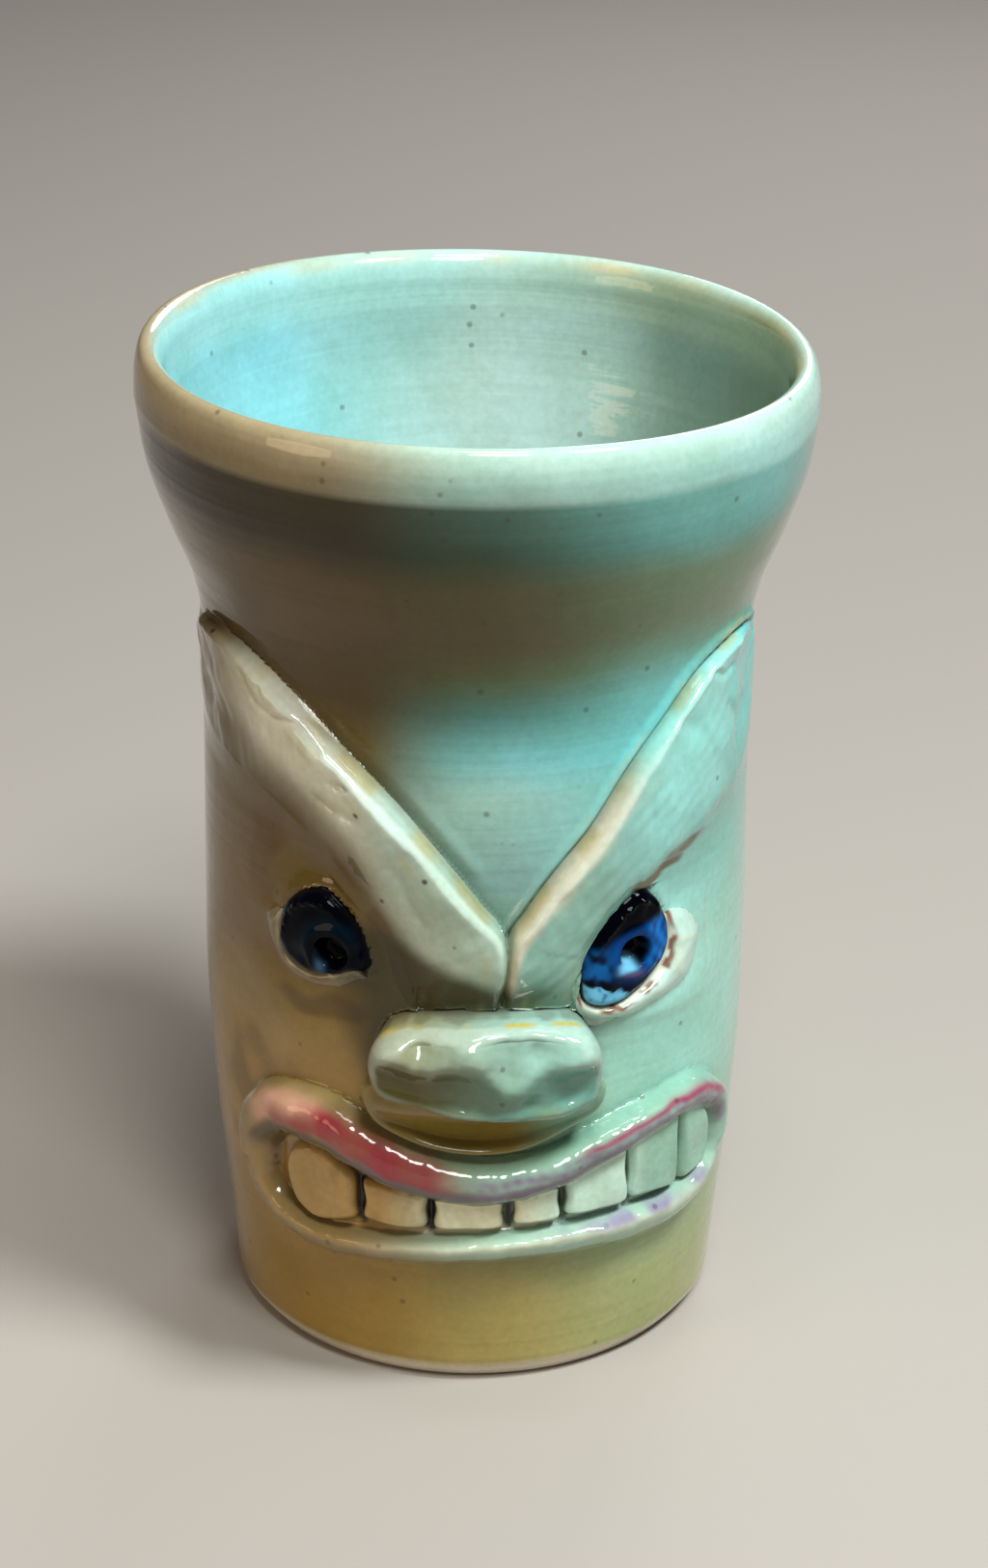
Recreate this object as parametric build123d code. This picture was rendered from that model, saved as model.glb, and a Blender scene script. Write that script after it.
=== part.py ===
from build123d import *
import math
import os

# A hand-thrown stoneware tiki mug. The cup is one wheel-thrown piece, and its face is built up from
# separate pieces of clay that are scored and slipped onto the wall: two brow slabs, two eyes in pressed
# sockets, two lower lids, a nose in two layers, two lip coils and seven teeth.
# Millimetres and degrees. +Z is up, the origin is the middle of the foot, and the face looks along -Y.
# A place on the wall is (angle, z, height): the angle is round from the middle of the face, positive
# towards +X, and the height is out from the thrown wall. Left and right are as the viewer sees them.

# Thrown cup
HEIGHT = 150.0
RIM_RADIUS = 48.7
RIM_CREST_RADIUS = 46.7
RIM_INNER_RADIUS = 44.2
RIM_ROLL_Z = 143.0
FOOT_RADIUS = 34.8
FOOT_BEVEL = 2.6
FOOT_BEVEL_RADIUS = 36.9
FOOT_RING_INNER_RADIUS = 29.0
FOOT_RECESS = 1.6
FLOOR_TOP_Z = 7.4
OUTER_WALL = [
    (FOOT_BEVEL_RADIUS, FOOT_BEVEL),
    (37.9, 14.0),
    (39.4, 30.0),
    (40.4, 48.0),
    (40.5, 66.0),
    (40.2, 90.0),
    (39.8, 107.0),
    (41.2, 117.0),
    (44.6, 126.0),
    (47.4, 134.5),
    (RIM_RADIUS, RIM_ROLL_Z),
]
INNER_WALL = [
    (RIM_INNER_RADIUS, RIM_ROLL_Z + 1.0),
    (42.9, 134.5),
    (40.0, 126.0),
    (36.7, 117.0),
    (35.3, 107.0),
    (35.6, 90.0),
    (36.0, 66.0),
    (35.5, 40.0),
    (34.0, 22.0),
    (31.0, 12.5),
    (24.0, 8.4),
]

# Eyes: oval discs pressed into sockets, each with a poked pupil
EYE_PROUD = 2.0
SOCKET_DEPTH = 1.8
EYE_EDGE_ROUND = 0.9
PUPIL_RADIUS = 2.8
PUPIL_DEPTH = 2.2
# (angle, z) of the middle, long and short half axes, and the lean of the long axis from level
LEFT_EYE = (-31.6, 74.4, 7.3, 6.5, 150.0)
RIGHT_EYE = (32.4, 72.6, 8.3, 5.7, 60.0)

# Lower lids: (angle, z, width, height) along each small coil
LEFT_LID = [
    (-45.5, 72.5, 1.6, 0.8),
    (-43.0, 69.3, 3.0, 1.5),
    (-38.0, 67.0, 3.6, 1.9),
    (-31.5, 66.2, 3.8, 1.9),
    (-25.5, 67.2, 3.2, 1.6),
    (-20.5, 69.5, 1.6, 0.8),
]
RIGHT_LID = [
    (22.0, 64.6, 1.6, 0.8),
    (26.0, 63.0, 3.2, 1.6),
    (32.0, 62.8, 4.2, 2.1),
    (38.5, 65.2, 5.0, 2.4),
    (43.5, 69.2, 4.4, 2.1),
    (45.5, 73.2, 2.2, 0.9),
]

# Brows: stations along each leaf-shaped slab, from its tip to the seam over the nose:
# (angle, z) on the upper edge, (angle, z) on the lower edge, and the thickness at each edge
LEFT_BROW = [
    ((-69.0, 112.8), (-77.0, 109.0), 1.2, 0.8),
    ((-61.5, 114.2), (-79.0, 101.5), 2.0, 1.0),
    ((-50.5, 113.0), (-66.0, 96.8), 2.8, 0.7),
    ((-38.5, 108.6), (-51.5, 95.0), 3.4, 0.5),
    ((-27.0, 102.6), (-39.5, 92.0), 3.8, 0.5),
    ((-16.5, 96.2), (-30.0, 87.5), 4.2, 0.5),
    ((-7.0, 88.6), (-22.0, 81.0), 4.4, 0.5),
    ((1.0, 81.2), (-17.5, 74.5), 4.4, 0.6),
    ((6.3, 75.0), (-16.5, 69.0), 4.2, 0.8),
    ((5.3, 64.2), (-16.5, 64.0), 2.4, 1.4),
]
RIGHT_BROW = [
    ((68.5, 113.6), (76.5, 109.5), 1.2, 0.8),
    ((61.0, 114.6), (81.0, 102.5), 2.0, 1.2),
    ((50.0, 112.0), (73.0, 93.5), 2.8, 0.8),
    ((40.5, 106.0), (60.5, 88.4), 3.4, 0.5),
    ((31.5, 99.8), (48.5, 85.2), 3.8, 0.5),
    ((23.5, 92.0), (37.0, 82.0), 4.2, 0.5),
    ((16.0, 85.8), (28.5, 78.6), 4.4, 0.5),
    ((10.0, 80.0), (22.5, 73.5), 4.4, 0.5),
    ((6.3, 75.0), (20.5, 68.5), 4.2, 0.8),
    ((5.3, 64.2), (20.5, 64.0), 2.4, 1.4),
]

# Nose: a thick rolled lump over a flatter pad. Stations across it:
# (angle, bottom z, top z, height)
NOSE_LUMP = [
    (-19.5, 54.0, 60.0, 1.5),
    (-16.0, 52.0, 63.0, 6.4),
    (-9.0, 50.8, 64.4, 8.0),
    (2.0, 49.2, 64.8, 8.2),
    (12.0, 48.6, 64.6, 7.8),
    (19.0, 49.2, 63.8, 6.8),
    (23.2, 52.0, 61.0, 1.5),
]
NOSE_PAD = [
    (-20.5, 47.4, 56.0, 1.6),
    (-16.5, 45.4, 56.5, 3.8),
    (-8.0, 43.2, 56.5, 4.6),
    (2.0, 42.2, 56.5, 4.8),
    (11.0, 43.0, 56.5, 4.6),
    (18.5, 45.8, 56.5, 3.6),
    (23.5, 48.6, 56.0, 1.6),
]

# Lips: (angle, z, width, height) along each coil. The lower one's ends tuck into the upper one's at the corners
UPPER_LIP = [
    (-51.5, 34.0, 7.4, 3.4),
    (-49.0, 39.2, 7.8, 3.8),
    (-42.0, 43.2, 7.8, 4.2),
    (-33.0, 43.8, 7.6, 4.4),
    (-23.5, 41.2, 7.2, 4.4),
    (-12.0, 38.0, 6.8, 4.4),
    (2.0, 36.8, 6.6, 4.4),
    (15.0, 38.0, 6.2, 4.2),
    (28.0, 41.2, 5.8, 4.0),
    (40.0, 43.6, 5.6, 3.8),
    (50.0, 44.0, 5.6, 3.6),
    (58.5, 40.4, 6.0, 3.4),
    (61.5, 34.5, 6.4, 3.2),
]
LOWER_LIP = [
    (-51.4, 36.2, 6.6, 2.8),
    (-51.0, 32.0, 6.8, 3.0),
    (-49.0, 28.2, 6.4, 3.2),
    (-43.0, 24.8, 6.0, 3.2),
    (-33.0, 23.6, 5.6, 3.2),
    (-20.0, 24.0, 5.2, 3.2),
    (-5.0, 25.0, 5.0, 3.2),
    (12.0, 25.2, 5.0, 3.2),
    (28.0, 24.8, 5.0, 3.2),
    (42.0, 24.6, 5.2, 3.2),
    (53.0, 26.0, 5.8, 3.2),
    (59.6, 29.4, 6.0, 3.1),
    (61.4, 33.2, 5.8, 2.9),
    (61.3, 36.8, 5.6, 2.7),
]

# Teeth: flat chips behind the lips, each between two angles
TOOTH_PROUD = 2.2
TOOTH_BOTTOM_Z = 25.0
TOOTH_TOP_Z = 46.0
TOOTH_ANGLES = [
    (-44.5, -24.6),
    (-22.9, -9.4),
    (-7.7, 6.3),
    (8.1, 18.0),
    (19.7, 32.2),
    (33.9, 45.9),
    (47.6, 57.0),
]

BURIED = 2.5  # how far a raw lump reaches into the wall before the wall is cut from it
CUTTER_REACH = 70.0  # past everything, measured from the axis


def wall_radius(z):
    """The thrown wall's outer radius at a height, between the wall's own points."""
    for (r0, z0), (r1, z1) in zip(OUTER_WALL, OUTER_WALL[1:]):
        if z <= z1:
            return r0 + (r1 - r0) * (z - z0) / (z1 - z0)
    return OUTER_WALL[-1][0]


def outward(angle):
    """The level direction straight out of the wall at an angle round the cup."""
    turn = math.radians(angle)
    return Vector(math.sin(turn), -math.cos(turn), 0)


def on_wall(angle, z, height=0.0):
    """The point that stands out from the wall by a height."""
    return outward(angle) * (wall_radius(z) + height) + Vector(0, 0, z)


def outer_curve(offset=0.0):
    """The wall's outer outline, moved in or out."""
    return Spline(*[(r + offset, 0, z) for r, z in OUTER_WALL])


def turned(edges):
    """A solid of revolution about the cup's axis, with its seam at the back."""
    return Rot(0, 0, 90) * revolve(Face(Wire(edges)), axis=Axis.Z)


def wall_core(offset=0.0):
    """The cup's outside as a filled solid, moved in or out: the tool that shapes each applied piece's back."""
    low_z, high_z = OUTER_WALL[0][1], OUTER_WALL[-1][1]
    wall = outer_curve(offset)
    return turned([
        wall,
        Line(wall @ 1, (0, 0, high_z)),
        Line((0, 0, high_z), (0, 0, low_z)),
        Line((0, 0, low_z), wall @ 0),
    ])


def thrown_cup():
    """The wheel-thrown vessel with a rolled rim, a bevelled foot and a shallow trimmed recess."""
    outer = outer_curve()
    rim = Spline(
        outer @ 1,
        (RIM_RADIUS - 0.4, 0, RIM_ROLL_Z + 4.6),
        (RIM_CREST_RADIUS, 0, HEIGHT),
        (RIM_INNER_RADIUS + 0.7, 0, HEIGHT - 1.9),
        (RIM_INNER_RADIUS, 0, RIM_ROLL_Z + 1.0),
        tangents=[outer % 1, (-0.1, 0, -1)],
    )
    inner = Spline(
        *[(r, 0, z) for r, z in INNER_WALL],
        tangents=[(-0.1, 0, -1), (-1, 0, -0.12)],
    )
    corners = [
        (0, 0, FLOOR_TOP_Z),
        (0, 0, FOOT_RECESS),
        (FOOT_RING_INNER_RADIUS - FOOT_RECESS, 0, FOOT_RECESS),
        (FOOT_RING_INNER_RADIUS, 0, 0),
        (FOOT_RADIUS, 0, 0),
    ]
    base = [Line(a, b) for a, b in zip(corners, corners[1:])]
    floor = Line(inner @ 1, corners[0])
    bevel = Line(corners[-1], outer @ 0)
    return turned([outer, rim, inner, floor, *base, bevel])


def oval_prism(angle, z, long_half, short_half, lean):
    """A radial bar of oval section through the wall, for an eye and its socket."""
    facing = Plane(
        origin=outward(angle) * (wall_radius(z) - 2 * BURIED) + Vector(0, 0, z),
        x_dir=outward(angle + 90),
        z_dir=outward(angle),
    )
    oval = facing * Rot(0, 0, lean) * Ellipse(long_half, short_half)
    return extrude(oval, amount=CUTTER_REACH / 2)


def eye(place):
    """An oval disc that fills its socket and stands proud, with a rounded edge and a poked pupil."""
    angle, z = place[:2]
    disc = oval_prism(*place) & (wall_core(EYE_PROUD) - wall_core(-SOCKET_DEPTH))
    rim_edges = disc.faces().sort_by_distance(on_wall(angle, z, 10.0))[0].edges()
    disc = fillet(rim_edges, EYE_EDGE_ROUND)
    mouth = Plane(origin=on_wall(angle, z, EYE_PROUD + 2.0), z_dir=outward(angle) * -1)
    pupil = extrude(mouth * Circle(PUPIL_RADIUS), amount=PUPIL_DEPTH + 2.0)
    return disc - pupil


def coil(stations):
    """A rolled coil lying along the wall, with an oval section at each station."""
    points = [on_wall(a, z) for a, z, _, _ in stations]
    sections = []
    for i, (angle, z, width, height) in enumerate(stations):
        before, after = points[max(i - 1, 0)], points[min(i + 1, len(points) - 1)]
        along = (after - before).normalized()
        out = outward(angle)
        across = along.cross(out).normalized()
        section = Plane(origin=points[i], x_dir=across, z_dir=along)
        sections.append(section * Ellipse(width / 2, height))
    return loft(sections)


def slab_section(upper, lower, thickness, thin):
    """One station of a brow: a steep upper edge, a rounded crest and a long slope to the lower edge."""
    top, bottom = on_wall(*upper, -BURIED), on_wall(*lower, -BURIED)
    out = outward((upper[0] + lower[0]) / 2)

    def stand(share, height):
        """The point over a share of the way down the section, that far out from the wall."""
        base = top + (bottom - top) * share
        radius = wall_radius(base.Z) + height
        slope = base.X * out.X + base.Y * out.Y
        rise = -slope + math.sqrt(slope**2 + radius**2 - base.X**2 - base.Y**2)
        return base + out * rise

    crest = Spline(
        stand(0.0, 0.55 * thickness),
        stand(0.08, 0.95 * thickness),
        stand(0.30, 0.88 * thickness),
        stand(0.62, 0.55 * thickness + 0.2 * thin),
        stand(1.0, thin),
    )
    edges = [Line(top, crest @ 0), crest, Line(crest @ 1, bottom), Line(bottom, top)]
    return Face(Wire(edges))


def brow(stations):
    """A leaf-shaped slab from its tip at the temple to the seam over the nose."""
    return loft([slab_section(*station) for station in stations])


def lump(stations):
    """A rounded mass across the face, with an upright rounded section at each station."""
    sections = []
    for angle, low_z, high_z, height in stations:
        middle = (low_z + high_z) / 2
        out = outward(angle)
        section = Plane(origin=on_wall(angle, middle), x_dir=(0, 0, 1), z_dir=out.cross(Vector(0, 0, 1)))
        sections.append(section * Ellipse((high_z - low_z) / 2, height))
    return loft(sections)


def biggest(shape):
    """The largest solid that a cut left, without any loose crumbs."""
    return shape.solids().sort_by(SortBy.VOLUME)[-1]


def tooth(start, end, lips):
    """A flat chip of clay between two angles, shaped by the wall behind it and the lips round it."""
    middle = (start + end) / 2
    half_width = wall_radius(TOOTH_BOTTOM_Z) * math.sin(math.radians(end - start) / 2)
    facing = Plane(
        origin=outward(middle) * (wall_radius(TOOTH_BOTTOM_Z) - 2 * BURIED)
        + Vector(0, 0, (TOOTH_BOTTOM_Z + TOOTH_TOP_Z) / 2),
        x_dir=outward(middle + 90),
        z_dir=outward(middle),
    )
    block = extrude(facing * Rectangle(2 * half_width, TOOTH_TOP_Z - TOOTH_BOTTOM_Z), amount=4 * BURIED)
    chip = (block & wall_core(TOOTH_PROUD)) - core
    for lip in lips:
        chip = chip - lip
    return biggest(chip)


def save(shape, node):
    """Writes one piece as its own STEP file."""
    export_step(shape, f"parts/{node}.step")


os.makedirs("parts", exist_ok=True)
core = wall_core()

sockets = [oval_prism(*place) - wall_core(-SOCKET_DEPTH) for place in (LEFT_EYE, RIGHT_EYE)]
cup = thrown_cup() - sockets[0] - sockets[1]
left_eye, right_eye = eye(LEFT_EYE), eye(RIGHT_EYE)

left_brow = brow(LEFT_BROW) - core - sockets[0]
right_brow = brow(RIGHT_BROW) - core - sockets[1] - left_brow
nose_lump = biggest(lump(NOSE_LUMP) - core - left_brow - right_brow)
left_lid = coil(LEFT_LID) - core - sockets[0] - left_brow - nose_lump
right_lid = coil(RIGHT_LID) - core - sockets[1] - right_brow - nose_lump
upper_lip = coil(UPPER_LIP) - core
lower_lip = biggest(coil(LOWER_LIP) - core - upper_lip)
nose_pad = lump(NOSE_PAD) - core - nose_lump - upper_lip

save(cup, "thrown_cup")
save(left_brow, "left_brow")
save(right_brow, "right_brow")
save(left_eye, "left_eye")
save(right_eye, "right_eye")
save(left_lid, "left_lower_lid")
save(right_lid, "right_lower_lid")
save(nose_lump, "nose_lump")
save(nose_pad, "nose_pad")
save(upper_lip, "upper_lip")
save(lower_lip, "lower_lip")
for number, (start, end) in enumerate(TOOTH_ANGLES, 1):
    save(tooth(start, end, (upper_lip, lower_lip)), f"tooth_{number}")
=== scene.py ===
import math

import bpy
import numpy as np
from mathutils import Matrix, Vector


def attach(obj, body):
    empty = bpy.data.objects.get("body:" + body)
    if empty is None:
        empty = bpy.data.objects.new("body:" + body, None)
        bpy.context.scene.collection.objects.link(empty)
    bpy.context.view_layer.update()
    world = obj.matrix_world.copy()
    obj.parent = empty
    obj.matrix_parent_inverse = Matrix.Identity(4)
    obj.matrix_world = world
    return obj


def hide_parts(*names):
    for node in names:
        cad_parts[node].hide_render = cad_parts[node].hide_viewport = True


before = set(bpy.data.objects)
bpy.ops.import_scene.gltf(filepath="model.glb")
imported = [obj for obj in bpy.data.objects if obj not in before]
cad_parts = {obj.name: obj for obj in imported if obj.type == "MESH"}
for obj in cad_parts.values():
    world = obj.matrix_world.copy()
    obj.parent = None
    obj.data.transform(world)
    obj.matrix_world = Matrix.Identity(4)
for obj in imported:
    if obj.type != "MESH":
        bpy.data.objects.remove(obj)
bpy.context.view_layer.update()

# The face is laid out unrolled: x is millimetres round the wall from the middle of the face, y is height.
# Stations are given as (angle, z, ...) in degrees and millimetres, as in the CAD.
UNROLL = 40.4 * math.pi / 180

OUTER_WALL = [(36.9, 2.6), (37.9, 14.0), (39.4, 30.0), (40.4, 48.0), (40.5, 66.0), (40.2, 90.0),
              (39.8, 107.0), (41.2, 117.0), (44.6, 126.0), (47.4, 134.5), (48.7, 143.0)]
INNER_WALL = [(44.2, 144.0), (42.9, 134.5), (40.0, 126.0), (36.7, 117.0), (35.3, 107.0), (35.6, 90.0),
              (36.0, 66.0), (35.5, 40.0), (34.0, 22.0), (31.0, 12.5), (24.0, 8.4)]
RIM_ROLL = [(48.7, 143.0), (48.5, 146.6), (47.8, 149.2), (46.6, 150.0), (45.2, 149.0), (44.4, 146.8),
            (44.2, 144.0)]

# Brows: upper edge and lower edge (angle, z), and the thickness at the crest, from the tip to the seam
LEFT_BROW = [
    (-70.5, 113.8, -81.5, 108.5, 2.0), (-61.5, 114.2, -79.0, 101.5, 2.4), (-50.5, 113.0, -66.0, 96.8, 2.8),
    (-38.5, 108.6, -51.5, 94.4, 3.3), (-27.0, 102.6, -39.5, 91.4, 3.8), (-16.5, 96.2, -30.0, 86.8, 4.2),
    (-7.0, 88.6, -22.0, 80.4, 4.4), (1.0, 81.2, -16.0, 75.4, 4.4), (6.3, 75.0, -12.6, 69.0, 4.1),
    (5.3, 62.5, -10.0, 61.5, 3.2),
]
RIGHT_BROW = [
    (70.5, 113.8, 80.5, 108.5, 1.0), (61.0, 114.2, 82.0, 100.5, 2.0), (50.0, 111.6, 72.0, 93.0, 2.8),
    (40.5, 105.8, 60.0, 88.0, 3.3), (31.5, 99.4, 48.0, 84.8, 3.7), (23.5, 91.8, 36.5, 81.2, 4.0),
    (16.0, 85.8, 28.5, 78.0, 4.2), (10.0, 80.0, 23.0, 73.2, 4.2), (6.3, 75.0, 20.8, 68.0, 3.9),
    (5.3, 62.5, 18.5, 61.0, 3.2),
]

# Coils: (angle, z, width, height)
UPPER_LIP = [
    (-51.5, 33.0, 7.4, 3.2), (-50.0, 38.4, 8.2, 3.6), (-43.0, 43.0, 9.0, 4.1), (-33.0, 43.7, 9.4, 4.4),
    (-23.5, 41.5, 9.2, 4.5), (-12.0, 38.4, 8.6, 4.5), (2.0, 36.8, 7.8, 4.4), (15.0, 38.1, 7.0, 4.2),
    (28.0, 41.4, 6.3, 4.0), (40.0, 43.6, 5.8, 3.8), (50.0, 44.0, 5.6, 3.6), (58.0, 40.6, 5.8, 3.3),
    (61.0, 33.5, 5.8, 3.0),
]
LOWER_LIP = [
    (-52.4, 36.0, 7.0, 2.9), (-52.0, 31.4, 7.4, 3.0), (-49.2, 27.4, 6.8, 3.0), (-43.0, 24.6, 6.4, 3.3),
    (-33.0, 23.4, 5.8, 3.4), (-20.0, 24.0, 5.4, 3.4), (-5.0, 24.9, 5.2, 3.4), (12.0, 25.6, 5.4, 3.4),
    (28.0, 25.6, 6.0, 3.5), (42.0, 25.4, 6.6, 3.5), (53.0, 26.6, 6.6, 3.4), (60.0, 30.0, 6.2, 2.9),
    (61.6, 36.0, 5.2, 2.7),
]
# Blobs: an outline of (angle, z) points, and a height
NOSE_LUMP = [
    (-19.6, 56.5), (-18.6, 61.0), (-14.0, 63.8), (-6.0, 64.6), (4.0, 65.0), (13.0, 64.8), (19.6, 63.8),
    (23.2, 60.5), (24.0, 55.5), (21.8, 51.2), (16.5, 49.4), (8.0, 48.9), (-2.0, 49.9), (-10.0, 51.4),
    (-16.8, 53.0),
]
NOSE_PAD = [
    (-20.6, 55.0), (-20.8, 49.5), (-17.5, 46.0), (-9.0, 43.4), (1.0, 42.4), (10.5, 43.2), (18.5, 45.9),
    (24.2, 49.0), (24.4, 55.0), (12.0, 58.0), (-8.0, 58.0),
]
TEETH = [
    [(-40.8, 30.6), (-41.0, 35.6), (-38.5, 38.6), (-34.0, 39.6), (-28.0, 38.0), (-24.6, 36.0),
     (-24.6, 31.0), (-25.0, 28.4), (-33.0, 26.6), (-38.6, 27.8)],
    [(-22.8, 29.0), (-22.7, 32.0), (-22.6, 35.8), (-16.5, 35.4), (-9.6, 35.0), (-9.5, 32.0), (-9.8, 28.9),
     (-16.0, 28.4)],
    [(-7.8, 28.9), (-7.8, 32.0), (-7.7, 35.0), (-1.0, 35.2), (5.9, 35.4), (6.0, 32.0), (5.8, 29.2),
     (-1.0, 28.8)],
    [(8.4, 29.7), (8.3, 32.0), (8.3, 35.4), (13.0, 36.2), (17.3, 37.2), (17.7, 33.0), (17.9, 29.9),
     (13.0, 29.5)],
    [(19.3, 30.2), (19.2, 33.0), (18.9, 37.6), (25.0, 39.2), (31.9, 41.4), (32.6, 36.0), (33.3, 30.3),
     (26.0, 29.8)],
    [(34.0, 30.4), (33.4, 35.0), (32.7, 41.6), (39.0, 43.2), (45.4, 44.0), (46.2, 37.0), (46.9, 29.9),
     (40.0, 29.8)],
    [(47.6, 30.0), (46.8, 37.0), (46.0, 43.6), (51.0, 43.0), (55.4, 39.6), (57.0, 34.6), (56.0, 31.0),
     (52.0, 29.8)],
]
# Eyes: the outline and the pupil, (angle, z)
EYES = {
    "left_eye": ([
        (-42, 73), (-40.8, 76.6), (-37.2, 79.4), (-31.8, 80.7), (-27.8, 79.3), (-24, 76.6), (-21.8, 72.6),
        (-21.6, 69.9), (-25, 69.3), (-28.6, 68.2), (-33.9, 67.6), (-39, 68.7), (-41.4, 70.8)],
        (-28.6, 72.0)),
    "right_eye": ([
        (21.6, 65.6), (21.3, 70.0), (22.4, 73.8), (25.4, 76.7), (30.2, 79.9), (35.1, 80.7), (39.5, 77.6),
        (41.5, 73.2), (40.8, 69.3), (37.5, 66.7), (31, 64.1), (25.4, 63.8)], (32.4, 71.7)),
}
# The lid under each eye: (direction round the eye in degrees, width, height)
LIDS = {
    "left_lower_lid": ("left_eye", [
        (-192, 0.4, 0.1), (-178, 2.0, 1.3), (-150, 1.2, 1.1), (-110, 1.1, 0.9), (-70, 1.2, 0.6),
        (-40, 0.4, 0.1)]),
    "right_lower_lid": ("right_eye", [
        (-140, 0.4, 0.2), (-122, 1.3, 1.4), (-95, 1.8, 1.9), (-65, 3.0, 2.3), (-35, 5.4, 2.6),
        (-8, 5.8, 2.3), (10, 3.4, 1.3), (24, 0.4, 0.1)]),
}
PUPIL_RADIUS, PUPIL_DEPTH = 2.5, 2.7

# Soft swellings and hollows of the wall itself: (angle, z, size across, size up, height)
SWELLINGS = [
    (-44, 61, 9, 6, 1.1), (47, 62, 8, 6, 1.0), (-33, 64.5, 7, 2.2, 0.7), (39, 61, 7, 2.5, 0.6),
    (-30, 84, 8, 4, -0.7), (31, 83, 7, 4, -0.5), (-28, 53, 4, 6, -0.5), (30, 54, 4, 6, -0.5),
    (-33, 57, 10, 4, 0.4), (-16, 69, 4, 5, -0.6), (24, 62, 4, 3, -0.8),
]
# Scores and dents in the brows: points (angle, z), width and depth
MARKS = [
    ([(-49.6, 110.9), (-47.4, 108.8), (-45.5, 107.3), (-40.8, 106.2), (-36.1, 106.1), (-33.2, 105.0),
      (-30.2, 103.0)], 0.55, 0.45),
    ([(-44.6, 109.6), (-43.4, 107.9), (-42.2, 107.2)], 0.5, 0.35),
    ([(-31.5, 96.1), (-27.1, 94.7), (-22.9, 94.0)], 0.9, 0.55),
    ([(-27.5, 98.7), (-25.8, 99.0), (-24.5, 98.6)], 0.3, 0.4),
    ([(-24.6, 98.4), (-25.8, 98.1), (-27.3, 98.3)], 0.3, 0.3),
    ([(-14.4, 87.0), (-11.8, 82.2), (-9.0, 79.0)], 0.9, 0.45),
    ([(52.0, 110.6), (55.5, 109.4), (59.0, 109.8)], 0.6, 0.4), ([(58.0, 104.0), (63.0, 101.0)], 0.9, 0.35),
    ([(44.0, 104.6), (49.0, 101.4), (52.0, 98.0)], 1.3, 0.3),
]
MOUTH = [(-43, 33), (-42, 39), (-36, 42.5), (-24, 38), (-9, 35), (2, 35), (16, 37), (31, 42), (46, 45),
         (56, 40), (58.5, 34), (55, 28.4), (30, 27.6), (0, 26.8), (-30, 25.4), (-40, 28)]


# ---- curves and distances

def catmull(points, per=14, closed=False):
    """A smooth curve through points. Every column is carried along."""
    p = np.asarray(points, float)
    if closed:
        p = np.vstack([p[-1:], p, p[:2]])
    else:
        p = np.vstack([2 * p[0] - p[1], p, 2 * p[-1] - p[-2]])
    t = (np.arange(per) / per)[:, None]
    spans = []
    for a, b, c, d in zip(p, p[1:], p[2:], p[3:]):
        bend = (2 * a - 5 * b + 4 * c - d) * t**2 + (3 * b - a - 3 * c + d) * t**3
        spans.append(0.5 * (2 * b + (c - a) * t + bend))
    curve = np.vstack(spans)
    return np.vstack([curve, curve[:1]]) if closed else np.vstack([curve, p[-2:-1]])


def resample(curve, count):
    """The same curve with evenly spaced points."""
    step = np.hypot(*np.diff(curve[:, :2], axis=0).T)
    run = np.concatenate([[0], np.cumsum(step)])
    at = np.linspace(0, run[-1], count)
    return np.stack([np.interp(at, run, column) for column in curve.T], 1)


def unrolled(stations):
    """Stations with their angle turned to millimetres round the wall."""
    s = np.array(stations, float)
    s[:, 0] *= UNROLL
    return s


def degrees_round(p):
    """The angle round the wall from the middle of the face."""
    return p[:, 0] / UNROLL


def nearest(points, curve):
    """Distance to a curve, the place along it as a fractional index, and the side: 1 to its left."""
    a, step = curve[:-1, :2], np.diff(curve[:, :2], axis=0)
    length2 = np.maximum((step**2).sum(1), 1e-12)
    far, place, side = np.empty(len(points)), np.empty(len(points)), np.empty(len(points))
    for i in range(0, len(points), 4096):
        d = points[i:i + 4096, None, :] - a[None]
        t = np.clip((d * step).sum(2) / length2, 0, 1)
        off = d - t[..., None] * step
        d2 = (off**2).sum(2)
        j = d2.argmin(1)
        row = np.arange(len(j))
        far[i:i + 4096] = np.sqrt(d2[row, j])
        place[i:i + 4096] = j + t[row, j]
        side[i:i + 4096] = np.sign(step[j, 0] * d[row, j, 1] - step[j, 1] * d[row, j, 0])
    return far, place, side


def along(curve, place, column):
    """A column's value at a place given as a fractional index."""
    return np.interp(place, np.arange(len(curve)), curve[:, column])


def inside(points, outline):
    """True where a point is within a closed outline."""
    x, y = points[:, 0], points[:, 1]
    hit = np.zeros(len(points), bool)
    for (ax, ay), (bx, by) in zip(outline, outline[1:]):
        cross = (ay > y) != (by > y)
        if ay != by:
            hit ^= cross & (x < (bx - ax) * (y - ay) / (by - ay) + ax)
    return hit


def depth_in(points, outline):
    """Distance to a closed outline, positive within it."""
    far, _, _ = nearest(points, outline)
    return np.where(inside(points, outline), far, -far)


def ramp(x, low, high):
    """0 below low, 1 above high, smooth between."""
    t = np.clip((x - low) / (high - low), 0, 1)
    return t * t * (3 - 2 * t)


def window(x, start, full, fading, end):
    """0 outside start to end, 1 from full to fading, smooth between."""
    return ramp(x, start, full) * (1 - ramp(x, fading, end))


def peak(x, middle, width):
    """1 at the middle and falling away either side."""
    return np.exp(-((x - middle) / width)**2)


def bump(points, angle, z, across, up):
    """A soft round bump, 1 at its middle."""
    return np.exp(-((points[:, 0] - angle * UNROLL) / across)**2 - ((points[:, 1] - z) / up)**2)


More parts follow.
